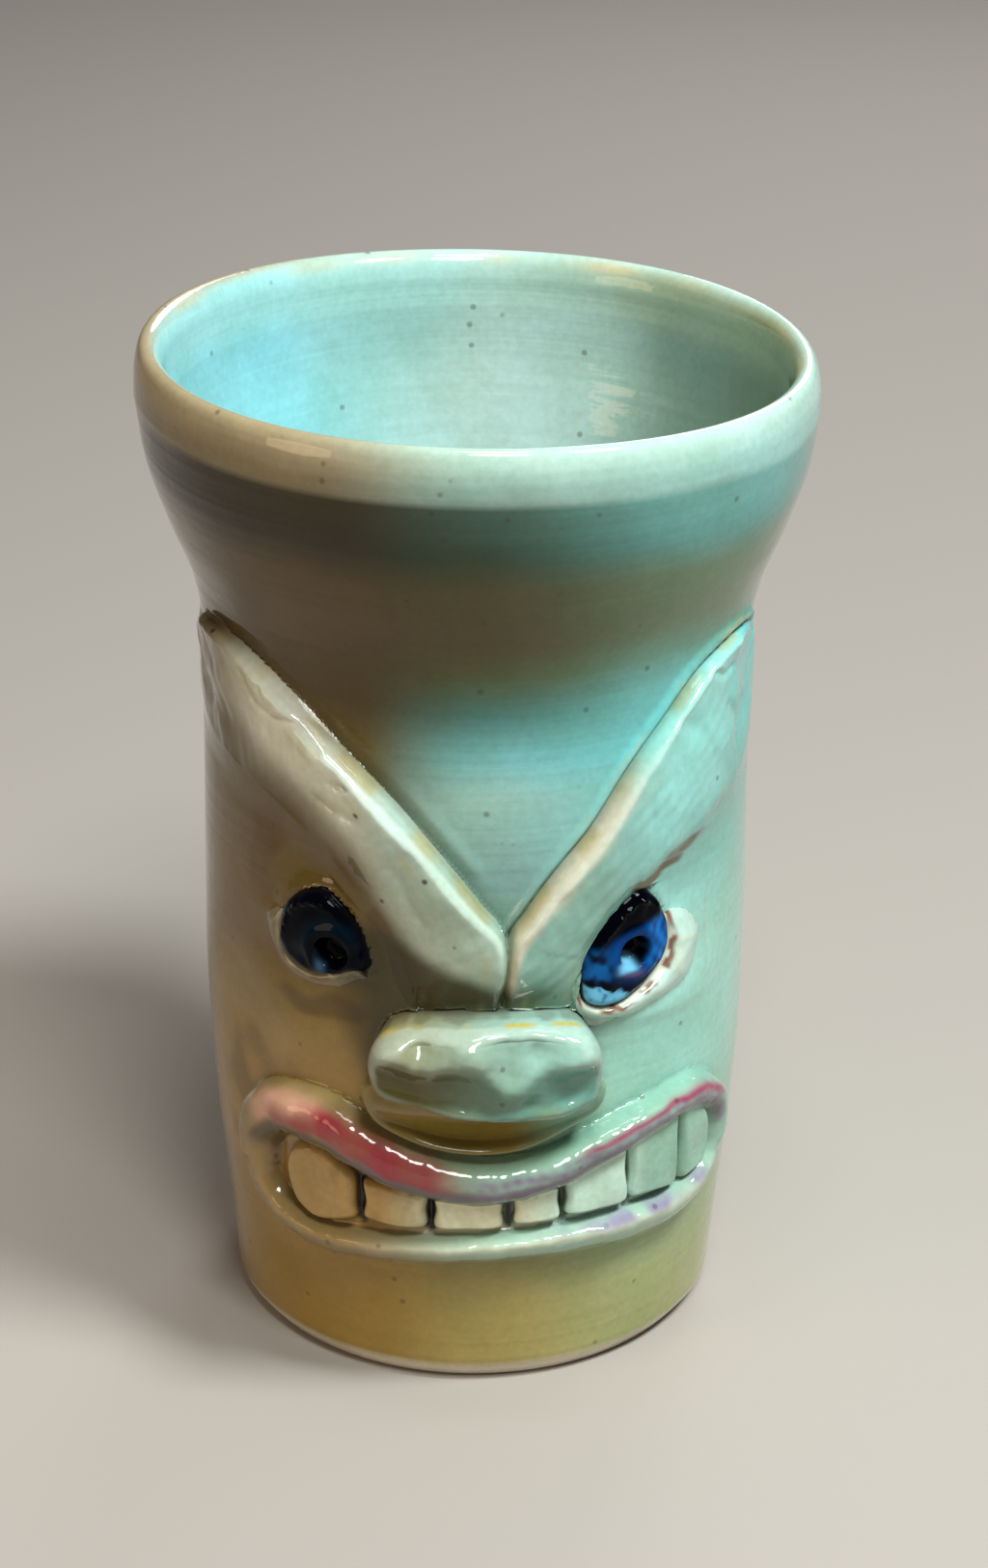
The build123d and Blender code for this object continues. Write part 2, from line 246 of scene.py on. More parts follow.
def wobble(points, scale, seed):
    """Smooth made-up unevenness, mostly between -1 and 1, from a few sine waves."""
    r = np.random.default_rng(seed)
    total = np.zeros(len(points))
    for _ in range(6):
        way, phase = r.uniform(0, 2 * math.pi), r.uniform(0, 2 * math.pi)
        size = scale * r.uniform(0.7, 1.5)
        run = points[:, 0] * math.cos(way) + points[:, 1] * math.sin(way)
        total += np.sin(run * 2 * math.pi / size + phase)
    return total / 4


def lumps(p, seed):
    """Uneven hand-worked clay, coarse to fine."""
    return 0.55 * wobble(p, 7.5, seed) + 0.30 * wobble(p, 3.4, seed + 1) + 0.13 * wobble(p, 1.8, seed + 2)


# ---- the relief

REACH = 9  # how far round its outline a piece's height is worked out, mm


class Coil:
    """A rolled coil along the wall."""

    def __init__(self, stations, blend, crest, fullness):
        self.line = resample(catmull(unrolled(stations)), 330)
        self.blend, self.crest, self.fullness = blend, crest, fullness
        self.low, self.high = self.line[:, :2].min(0) - REACH, self.line[:, :2].max(0) + REACH

    def height(self, p):
        far, place, side = nearest(p, self.line)
        half, tall = along(self.line, place, 2) / 2, along(self.line, place, 3)
        q = far / half
        lean = q * side - self.crest
        lean = np.abs(lean) / np.where(lean > 0, 1 - self.crest, 1 + self.crest)
        dome = tall * np.clip(1 - np.clip(lean, 0, 1)**self.fullness, 0, 1)**0.6
        h = np.where(q < 1, dome + 0.42 * lumps(p, 3), -(q - 1) * half * 1.6)
        return h, np.full(len(p), self.blend)

    def grid(self):
        turn = np.gradient(self.line[:, :2], axis=0)
        turn /= np.linalg.norm(turn, axis=1)[:, None]
        normal = np.stack([-turn[:, 1], turn[:, 0]], 1)
        across = np.sin(np.linspace(-1, 1, 41) * math.pi / 2)
        reach = self.line[:, 2:3] / 2 + 1.5
        return self.line[:, None, :2] + (across[None] * reach)[..., None] * normal[:, None]


class Brow:
    """A leaf-shaped slab with a steep upper edge and a long soft slope to its lower edge. Its profile is
    (share of the way down, share of the thickness). Its bead, a ridge on the wall above it, is the start
    and end along the edge, how far off it lies, its width and its height."""

    def __init__(self, stations, profile, foot, bead):
        s = np.array(stations, float)
        s[:, [0, 2]] *= UNROLL
        self.top = resample(catmull(s[:, [0, 1, 4]]), 170)
        self.bottom = resample(catmull(s[:, [2, 3]]), 170)
        self.outline = np.vstack([self.top[:, :2], self.bottom[::-1], self.top[:1, :2]])
        self.tip = np.stack([self.top[0, :2], self.bottom[0]])
        self.profile = catmull(profile, 12)
        self.foot, self.bead = foot, bead
        self.low, self.high = self.outline.min(0) - REACH, self.outline.max(0) + REACH

    def height(self, p):
        far_top, place, _ = nearest(p, self.top)
        far_low, _, _ = nearest(p, self.bottom)
        within = inside(p, self.outline)
        tall = along(self.top, place, 2)
        share = far_top / np.maximum(far_top + far_low, 1e-6)
        rise = np.sqrt(1 - (1 - np.clip(far_top / (0.8 + 0.14 * tall), 0, 1))**2)
        tip = np.clip(nearest(p, self.tip)[0] / 2.2, 0, 1)
        h = tall * (self.foot + (1 - self.foot) * rise)
        h *= np.interp(share, self.profile[:, 0], self.profile[:, 1])
        h *= 0.35 + 0.65 * np.sqrt(1 - (1 - tip)**2)
        h -= 2.6 * ramp(73.5 - p[:, 1], 0, 9) * (0.45 + 0.55 * (1 - share))
        h += (0.26 * wobble(p, 11, 5) + 0.24 * lumps(p, 15)) * ramp(far_top, 0.1, 1.5)
        for points, width, depth in MARKS:
            far, _, _ = nearest(p, catmull(unrolled(points), 6))
            h -= depth * np.exp(-(far / width)**2)
        nearer_top = far_top < far_low
        outside = np.where(nearer_top, self.foot * tall - far_top * 4.5, 0.10 * tall - far_low * 0.42)
        k = 0.4 + 2.2 * ramp(share, 0.45, 0.9)
        return np.where(within, h, outside), k

    def ridge(self, p):
        """The clay pushed up along the upper edge on the wall's side."""
        far, place, _ = nearest(p, self.top)
        t = place / len(self.top)
        start, end, off, width, tall = self.bead
        wall_side = np.where(inside(p, self.outline), -far, far)
        return tall * peak(wall_side, off, width) * window(t, start, start + 0.06, end - 0.08, end)

    def grid(self):
        reach = self.bottom - self.top[:, :2]
        length = np.linalg.norm(reach, axis=1)[:, None]
        way = reach / length
        rows = [self.top[:, :2] + way * at for at in np.linspace(-1.0, 1.8, 20)]
        rows += [self.top[:, :2] + way * (1.8 + (length + 1.0) * at) for at in np.linspace(0, 1, 46)[1:]]
        g = np.stack(rows, 1)
        start = g[0] - (g[1] - g[0]) / np.linalg.norm(g[1] - g[0], axis=1).max() * 1.2
        return np.concatenate([start[None], g], 0)


class Blob:
    """A lump with a closed outline."""

    def __init__(self, outline, tall, edge, blend, power=2.0, rings=46, spokes=150, shape=None, wave=0.12):
        o = unrolled(outline)
        self.outline = resample(catmull(o, closed=True), spokes + 1)
        self.middle = (self.outline.min(0) + self.outline.max(0)) / 2
        self.tall, self.edge, self.blend, self.power, self.rings = tall, edge, blend, power, rings
        self.shape, self.wave = shape, wave
        self.low, self.high = self.outline.min(0) - REACH, self.outline.max(0) + REACH

    def height(self, p):
        d = depth_in(p, self.outline)
        h = self.tall * (1 - (1 - np.clip(d / self.edge, 0, 1))**self.power)**(1 / self.power)
        if self.shape:
            h = h + self.shape(p) * np.clip(d / 2.0, 0, 1)
        h = h + self.wave * wobble(p, 6, 4) * np.clip(d, 0, 1)
        return np.where(d > 0, h, d * 3.0), np.full(len(p), self.blend)

    def grid(self):
        half = self.rings // 2
        share = np.concatenate([np.linspace(0.02, 0.72, half), np.linspace(0.74, 1.0, half)])
        out = self.outline[:-1] - self.middle
        skirt = out / np.linalg.norm(out, axis=1)[:, None]
        rings = [self.middle + out * s for s in share]
        rings += [self.outline[:-1] + skirt * s for s in (0.12, 0.25, 0.45, 0.8)]
        return np.stack(rings, 0)


class Eye(Blob):
    """A disc in a socket, with a poked pupil."""

    def __init__(self, outline, pupil):
        super().__init__(outline, 1.9, 1.5, 0.2, rings=60, spokes=130)
        self.pupil = np.array([pupil[0] * UNROLL, pupil[1]])

    def height(self, p):
        d = depth_in(p, self.outline)
        r = np.linalg.norm(p - self.pupil, axis=1)
        h = self.tall * np.sqrt(1 - (1 - np.clip(d / self.edge, 0, 1))**2)
        h += 0.4 * ramp(d, 1, 5) + 0.16 * wobble(p, 4, 9)
        upper = ramp((p - self.middle) @ np.array([-0.6, 0.8]), 1.5, 4.0)
        h += 0.30 * upper * peak(d, 1.5, 0.4) * (1 + wobble(p, 1.6, 10))
        h += 0.30 * peak(r, 3.6, 0.7)
        h -= PUPIL_DEPTH * (1 - ramp(r, 0.5 * PUPIL_RADIUS, 1.1 * PUPIL_RADIUS))
        return np.where(d > 0, h, d * 3), np.full(len(p), self.blend)


class Lid:
    """The pad of clay pushed up against the lower side of an eye."""

    def __init__(self, eye, stations):
        self.eye, self.stations = eye, np.array(stations, float)
        self.low, self.high = eye.low, eye.high

    def bearing(self, p):
        way = np.degrees(np.arctan2(*(p - self.eye.middle).T[::-1]))
        return np.where(way > 60, way - 360, way)

    def height(self, p):
        away = -depth_in(p, self.eye.outline)
        way = self.bearing(p)
        width, tall = (np.interp(way, self.stations[:, 0], self.stations[:, c]) for c in (1, 2))
        crest = 0.35 + 0.28 * width
        t = np.where(away < crest, (crest - away) / crest, (away - crest) / (width + 0.6 - crest * 0.6))
        h = tall * (1 - np.clip(t, 0, 1)**2.2) + 0.12 * wobble(p, 3.5, 6)
        shown = (away > 0) & (t < 1) & (tall > 0.15)
        sunk = -0.6 * np.minimum(np.where(away > 0, t - 1, 3), 3) - 0.3
        return np.where(shown, h, sunk), np.full(len(p), 2.2)

    def grid(self):
        ring = self.eye.outline[:-1]
        way = self.bearing(ring)
        at = np.linspace(self.stations[0, 0], self.stations[-1, 0], 90)
        order = np.argsort(way)
        edge = np.stack([np.interp(at, way[order], ring[order, c]) for c in (0, 1)], 1)
        out = edge - self.eye.middle
        out /= np.linalg.norm(out, axis=1)[:, None]
        return edge[:, None] + np.linspace(-0.5, 7.0, 34)[None, :, None] * out[:, None]


def nose_ridge(angle):
    """The height of the line between the nose's shelf and its front: the snout between two hollows."""
    return 60.0 - 1.6 * peak(angle, -7.0, 3.6) - 1.0 * peak(angle, 15.5, 3.0) - 4.4 * peak(angle, 6.5, 4.6)


# The nose's lobes and hollows: (angle, z, size across, size up, height)
NOSE_LUMPS = [
    (-7.6, 57.0, 3.6, 2.2, -0.7), (15.2, 56.0, 2.8, 2.2, -0.9), (-14.5, 61.0, 3.6, 2.2, 0.9),
    (18.0, 60.2, 3.4, 2.2, 0.9), (6.3, 55.4, 2.8, 3.0, 0.7), (0.5, 61.0, 3.4, 1.8, 0.6),
    (10.8, 61.2, 1.7, 2.0, -1.1), (-9.4, 62.4, 1.4, 1.7, -1.1),
]


def nose_form(p):
    """The nose's shelf, its lobes, the hollow front and the thin lip along its lower edge."""
    z = p[:, 1]
    ridge = nose_ridge(degrees_round(p))
    front_lip = 51.2 + 0.012 * (p[:, 0] - 4)**2
    h = -2.0 * ramp(z - ridge, 0.0, 8.0) - 1.7 * ramp(ridge - z, -1.5, 5.5) + 0.9 * peak(z, front_lip, 1.0)
    for angle, middle_z, across, up, tall in NOSE_LUMPS:
        h += tall * bump(p, angle, middle_z, across, up)
    return h + 0.36 * lumps(p, 25)


def pad_form(p):
    """The pad under the nose leans back towards its lower edge."""
    return -4.4 * ramp(52.5 - p[:, 1], 0, 8.5)


PIECES = {
    "left_brow": Brow(
        LEFT_BROW, [(0, 0.94), (0.1, 1.0), (0.28, 0.92), (0.5, 0.72), (0.72, 0.48), (0.9, 0.2), (1, 0.08)],
        0.30, (0.32, 0.75, 2.6, 1.0, 0.35)),
    "right_brow": Brow(
        RIGHT_BROW, [(0, 1.0), (0.12, 1.0), (0.35, 0.9), (0.6, 0.76), (0.8, 0.56), (0.93, 0.26), (1, 0.1)],
        0.03, (-0.1, 1.0, 1.0, 0.65, 1.0)),
    "nose_pad": Blob(NOSE_PAD, 5.8, 1.6, 1.5, shape=pad_form),
    "nose_lump": Blob(
        NOSE_LUMP, 8.4, 2.6, 0.5, power=2.4, shape=nose_form, rings=60, spokes=200, wave=0.42),
    "upper_lip": Coil(UPPER_LIP, 1.2, crest=0.2, fullness=2.3),
    "lower_lip": Coil(LOWER_LIP, 0.8, crest=0.5, fullness=1.7),
}
for number, outline in enumerate(TEETH, 1):
    PIECES[f"tooth_{number}"] = Blob(outline, 2.3, 1.2, 0.3, rings=30, spokes=100, wave=0.3)
for name, (outline, pupil) in EYES.items():
    PIECES[name] = Eye(outline, pupil)
for name, (eye, stations) in LIDS.items():
    PIECES[name] = Lid(PIECES[eye], stations)
MOUTH_LINE = resample(catmull(unrolled(MOUTH), closed=True), 200)
FAR_BELOW = -6.0


def near_mouth(p):
    return (np.abs(p[:, 0]) < 46) & (p[:, 1] > 18) & (p[:, 1] < 50)


def near_piece(p, piece):
    return ((p > piece.low) & (p < piece.high)).all(1)


def base_height(p):
    """The wall's own unevenness: swellings, and the mouth raised a little."""
    h = np.zeros(len(p))
    for angle, z, across, up, tall in SWELLINGS:
        h += tall * bump(p, angle, z, across, up)
    near = near_mouth(p)
    if near.any():
        h[near] += 0.5 * ramp(depth_in(p[near], MOUTH_LINE), -1.5, 0.5)
    for side in ("left_brow", "right_brow"):
        brow = PIECES[side]
        near = near_piece(p, brow)
        if near.any():
            h[near] += brow.ridge(p[near])
    turning = 0.035 * np.sin(p[:, 1] * 1.9 + 0.6 * np.sin(p[:, 0] / 40)) + 0.025 * np.sin(p[:, 1] * 4.1 + 1)
    return h + 0.10 * wobble(p, 23, 1) + turning * (1 - 0.85 * ramp(p[:, 1], 18, 26))


def piece_height(name, p):
    """A piece's height over the wall and its blend width, far below the wall away from the piece."""
    piece = PIECES[name]
    h, k = np.full(len(p), FAR_BELOW), np.full(len(p), 0.5)
    near = near_piece(p, piece)
    if near.any():
        h[near], k[near] = piece.height(p[near])
    return h, k


def soft_max(a, b, k):
    return np.maximum(a, b) + np.maximum(k - np.abs(a - b), 0)**2 / (4 * k)


def relief(p, own=None):
    """The whole face's height at each point, then one piece's height and blend, and how far the others
    stand over it. With no piece named, that one is the wall."""
    ground = base_height(p)
    total, others, mine = ground.copy(), ground.copy(), ground
    if own is None:
        others = np.full(len(p), FAR_BELOW)
    blend = np.full(len(p), 0.4)
    for name in PIECES:
        h, k = piece_height(name, p)
        total = soft_max(total, h, k)
        if name == own:
            mine, blend = h, k
        else:
            blend = np.where((h > others) & (own is None), k, blend)
            others = soft_max(others, h, k)
    return total, mine, blend, others - mine


def surface(p, own=None):
    """The shared surface, and the height of one mesh: it follows the shared surface where this piece stands
    highest and dips under it elsewhere."""
    total, mine, k, over = relief(p, own)
    follow, deepest = (0.25, 1.0) if own else (0.05, 0.4)
    dip = np.minimum(1.5 * np.maximum(over - follow, 0), deepest)
    return total, np.minimum(total, mine + k / 4) - dip


def spline_radius(points):
    curve = catmull(points, 24)
    order = np.argsort(curve[:, 1])
    return curve[order, 1], curve[order, 0]


WALL_Z, WALL_R = spline_radius(OUTER_WALL)


def wall_radius(z):
    return np.interp(z, WALL_Z, WALL_R)


def settle(x, y, z):
    """Hand-thrown unevenness, with the rim tipped a little to one side. Millimetres in, metres out."""
    lift = np.clip((z - 100) / 50, 0, 1)
    angle = np.arctan2(x, -y)
    round_off = 1 + 0.0022 * lift * np.cos(2 * angle + 0.7) + 0.0012 * np.cos(3 * angle + 2)
    z = z + lift * (-1.17 * x - 0.39 * y) / 50 + 0.25 * lift * np.sin(3 * angle + 1)
    return np.stack([x * round_off, y * round_off, z], -1) / 1000


def placed(p, height):
    """Unrolled points and a height out from the wall, as places in metres."""
    angle = p[..., 0] / UNROLL * math.pi / 180
    r = wall_radius(p[..., 1]) + height
    return settle(r * np.sin(angle), -r * np.cos(angle), p[..., 1])


# ---- how the face curves, for the glaze

RASTER_STEP = 0.4
raster_x = np.arange(-66, 66, RASTER_STEP)
raster_z = np.arange(14, 122, RASTER_STEP)
raster_points = np.stack(np.meshgrid(raster_x, raster_z), -1).reshape(-1, 2)
raster = relief(raster_points)[0].reshape(len(raster_z), len(raster_x))


def blurred(image, times):
    for _ in range(times):
        image = (np.roll(image, 1, 0) + 2 * image + np.roll(image, -1, 0)) / 4
        image = (np.roll(image, 1, 1) + 2 * image + np.roll(image, -1, 1)) / 4
    return image


SHARP = blurred(raster, 1) - blurred(raster, 8)
BROAD = blurred(raster, 6) - blurred(raster, 60)


def sample(image, p):
    """Bilinear look-up in one of the rasters, 0 outside."""
    u = (p[:, 0] - raster_x[0]) / RASTER_STEP
    v = (p[:, 1] - raster_z[0]) / RASTER_STEP
    ok = (u > 0) & (v > 0) & (u < len(raster_x) - 1.01) & (v < len(raster_z) - 1.01)
    u, v = np.where(ok, u, 0), np.where(ok, v, 0)
    i, j = u.astype(int), v.astype(int)
    fu, fv = u - i, v - j
    got = (image[j, i] * (1 - fu) * (1 - fv) + image[j, i + 1] * fu * (1 - fv)
           + image[j + 1, i] * (1 - fu) * fv + image[j + 1, i + 1] * fu * fv)
    return np.where(ok, got, 0)


# ---- glaze colours

def rgb(r, g, b):
    """A colour from its 0 to 255 display values, as linear light."""
    c = np.array([r, g, b]) / 255
    return np.where(c <= 0.04045, c / 12.92, ((c + 0.055) / 1.055)**2.4)


def mix(a, b, share):
    """Two colours, plain display values or linear light, mixed by a share at each point."""
    a, b = (rgb(*c) if isinstance(c, tuple) else c for c in (a, b))
    share = np.asarray(share)[..., None]
    return a * (1 - share) + b * share


# Glaze colours up the wall: (z, left, middle, right), as display values. The dark rows from 110 to 142 mm
# are partly painted shade for the rim's shadow under its flare, and the dark left column is partly painted
# shade.
GLAZE_AND_SHADE_BANDS = [
    (2.0, (160, 128, 52), (178, 158, 92), (164, 170, 112)),
    (13.0, (150, 120, 40), (168, 152, 86), (170, 178, 122)),
    (22.0, (152, 122, 52), (146, 140, 84), (160, 184, 138)),
    (34.0, (166, 130, 62), (146, 158, 116), (154, 204, 184)),
    (56.0, (152, 126, 68), (150, 168, 142), (158, 216, 202)),
    (68.0, (112, 88, 38), (132, 150, 118), (160, 210, 196)),
    (84.0, (102, 82, 32), (124, 166, 162), (132, 196, 188)),
    (96.0, (92, 74, 26), (150, 192, 180), (120, 194, 192)),
    (103.0, (98, 84, 38), (112, 178, 176), (114, 204, 208)),
    (110.0, (74, 58, 14), (68, 118, 108), (112, 190, 190)),
    (116.0, (76, 58, 12), (78, 88, 52), (102, 148, 130)),
    (121.0, (80, 60, 18), (80, 70, 30), (104, 128, 98)),
    (129.5, (80, 60, 18), (78, 72, 34), (106, 136, 108)),
    (135.0, (42, 34, 4), (40, 66, 46), (98, 162, 158)),
    (142.0, (48, 40, 6), (62, 94, 82), (112, 174, 168)),
    (145.0, (82, 64, 26), (110, 152, 142), (138, 194, 188)),
    (148.0, (160, 142, 112), (176, 216, 202), (180, 220, 208)),
]


def folded(p):
    """The back's places folded onto the front's, so that a pattern closes on itself round the cup."""
    angle = (degrees_round(p) + 180) % 360 - 180
    angle = np.where(np.abs(angle) > 90, np.sign(angle) * 180 - angle, angle)
    return np.stack([angle * UNROLL, p[:, 1]], 1)


def celadon(p):
    """The wall's glaze by place, in bands by height: warm and dark on the left, cool and pale on the right.
    This is partly the glaze's tone, partly painted shade on the left and under the rim, and partly painted
    light on the right.
    Also how cool and lit it is, 0 to 1."""
    q = folded(p)
    behind = ramp(np.abs((degrees_round(p) + 180) % 360 - 180), 85, 160)
    angle = degrees_round(q) + 3 * wobble(q, 34, 12) + 24 * behind
    z = q[:, 1] + 1.2 * wobble(q, 40, 11) + 0.5 * wobble(q, 13, 14)
    levels = [band[0] for band in GLAZE_AND_SHADE_BANDS]
    columns = [np.array([rgb(*band[side]) for band in GLAZE_AND_SHADE_BANDS]) for side in (1, 2, 3)]
    left, middle, right = (np.stack([np.interp(z, levels, c) for c in column.T], 1) for column in columns)
    # Darker and warmer to the left, paler to the right: partly glaze tone, partly painted shade and painted
    # light
    colour = mix(left, middle, ramp(angle, -24 - 40 * behind, 2 + 20 * behind))
    colour = mix(colour, right, ramp(angle, -16 * behind, 42 + 16 * behind))
    # How cool the tone is, rising towards the lit right: partly glaze tone, partly painted light
    cool_and_lit = ramp(np.sin(np.radians(degrees_round(q))) + 0.4 * behind + 0.10 * wobble(q, 30, 12), -0.80, 0.70)
    stain = ramp(wobble(q, 27, 13) + 0.5 * wobble(q, 10, 15), 0.3, 1.1) * (1 - cool_and_lit)
    return mix(colour, (92, 70, 26), stain * window(z, 18, 30, 92, 100) * 0.45), cool_and_lit


# Brown-olive patches: (angle, z, size across, size up, strength). The three on the right from 36 to 46.5
# degrees lie along the right brow's lower edge and are painted shadow under it; the rest are darker patches
# round the eyes.
STAINS_AND_SHADOWS = [
    (-47, 87, 4.5, 4.5, 0.9), (-50, 79, 3.5, 5, 0.6), (-18.5, 76, 2.2, 6, 0.8), (-31, 62.5, 8, 2.4, 0.7),
    (-25, 84, 4, 1.8, 0.5), (36, 81.8, 3.0, 1.4, 0.7), (40.5, 83.2, 3.4, 1.4, 0.8),
    (46.5, 85.2, 4.0, 1.4, 0.6), (22, 60.5, 2.5, 2.5, 0.4),
]


def stained_and_shadowed(colour, p):
    """The colour with the patches laid over it, warmer on the left; the row under the right brow is painted
    shadow.
    """
    q = p + np.stack([1.4 * wobble(p, 7, 16), 1.4 * wobble(p, 7, 17)], 1)
    for angle, z, across, up, strength in STAINS_AND_SHADOWS:
        patch = (90, 64, 10) if angle < 0 else (96, 78, 42)
        # Darker patches, and painted shadow along the right brow's lower edge
        colour = mix(colour, patch, strength * ramp(bump(q, angle, z, across, up), 0.25, 0.75))
    return colour


def glazed(p):
    """The wall's glaze with its breaks on crests, partly painted highlight, its pools in creases, and
    painted shade under the brows' lower ends.
    """
    colour, cool_and_lit = celadon(p)
    sharp, broad = sample(SHARP, p), sample(BROAD, p)
    colour = mix(colour, mix((176, 162, 118), (182, 216, 202), cool_and_lit), ramp(broad, 0.2, 1.8) * 0.4)
    # Pale on crests, stronger on the lit right: partly glaze breaking thin, partly painted highlight
    colour = mix(colour, (210, 232, 222), ramp(sharp, 0.10, 0.50) * (0.25 + 0.5 * ramp(cool_and_lit, 0.1, 0.5)))
    margin = window(sharp, 0.05, 0.15, 0.2, 0.4) * ramp(wobble(p, 9, 21), 0, 0.4)
    colour = mix(colour, (196, 176, 96), margin * 0.35)
    pool = mix((84, 64, 26), (84, 136, 118), cool_and_lit)
    colour = mix(colour, pool, ramp(-sharp, 0.08, 0.45) * 0.40)
    colour = mix(colour, pool, ramp(-broad, 0.3, 1.6) * 0.35)
    # Olive painted shade laid over the brows' lower ends and the wall beside them
    return mix(stained_and_shadowed(colour, p), painted_shade_olive(p), painted_shade(p) * 0.88)


def painted_shade_olive(p):
    """Olive painted shade between the brows and the nose, where the brows' lower ends face down."""
    return mix((60, 50, 14), (78, 100, 70), ramp(degrees_round(p), 2, 16))


def painted_shade(p):
    """How much of that painted shade lies at each place: its upper edge climbs to the left."""
    angle, z = degrees_round(p) + 1.5 * wobble(p, 8, 24), p[:, 1]
    upper_edge = 69.8 + 0.3 * np.clip(6 - angle, 0, 26)
    return ramp(upper_edge - z, -1, 3) * window(angle, -30, -21, 12, 22) * ramp(z, 50, 58)


def brow_colour(p, piece, left):
    """The brows carry a paler, thicker coat, worn to cream along the crest; the left brow's pale crest is
    partly painted highlight, and its dark tip and lower slope are partly painted shade.
    """
    colour, cool_and_lit = glazed(p), celadon(p)[1]
    angle = degrees_round(p)
    far_top, _, _ = nearest(p, piece.top)
    far_low, _, _ = nearest(p, piece.bottom)
    share = far_top / np.maximum(far_top + far_low, 1e-6)
    share = np.where(inside(p, piece.outline) | (far_top < far_low), share, 1)
    if left:
        # Darker towards the left brow's tip on the shaded side and pale in the middle, where it faces the
        # lamps: partly the coat's colour, partly painted shade and painted light
        coat = mix((112, 90, 50), (224, 224, 204), ramp(angle, -66, -42))
        coat = mix(coat, (170, 196, 182), ramp(angle, -30, -14) * (1 - 0.6 * share))
        # Darker over the left brow's lower slope, which faces down: painted shade
        coat = mix(coat, (112, 96, 56), ramp(share, 0.40, 0.75) * (1 - ramp(angle, -24, -12)) * 0.8)
    else:
        coat = mix((138, 184, 172), (152, 218, 212), ramp(angle, 24, 40))
        coat = mix(coat, (98, 196, 194), ramp(angle, 52, 66) * 0.7)
        cream = (1 - ramp(far_top + 0.5 * wobble(p, 9, 25), 0.9, 2.5)) * (1 - ramp(angle, 26, 36))
        coat = mix(coat, (218, 200, 174), cream * 0.8)
    colour = mix(colour, coat, 0.9 * (1 - ramp(share, 0.68, 0.97)))
    colour = colour if left else stained_and_shadowed(colour, p)
    # Olive painted shade under the brow's lower end
    colour = mix(colour, painted_shade_olive(p), painted_shade(p) * 0.95)
    sharp = sample(SHARP, p)
    # Pale along the crest: partly glaze thin over the crest, partly painted highlight
    crest = ramp(sharp, 0.10, 0.5) * (ramp(angle, -52, -34) if left else 0.5)
    colour = mix(colour, (212, 232, 222), crest * 0.5)
    margin = peak(far_top, 3.0, 0.5) * ramp(wobble(p, 12, 22), -0.2, 0.5)
    colour = mix(colour, (190, 176, 106), margin * (0.4 if left else 0.15))
    edge = (1 - ramp(far_top, 0.1, 0.6)) * ramp(wobble(p, 9, 23), -0.3, 0.3)
    colour = mix(colour, (178, 156, 70), edge * 0.5)
    pool = mix((96, 78, 36), (84, 136, 118), cool_and_lit)
    return mix(colour, pool, ramp(-sharp, 0.12, 0.5) * 0.35)


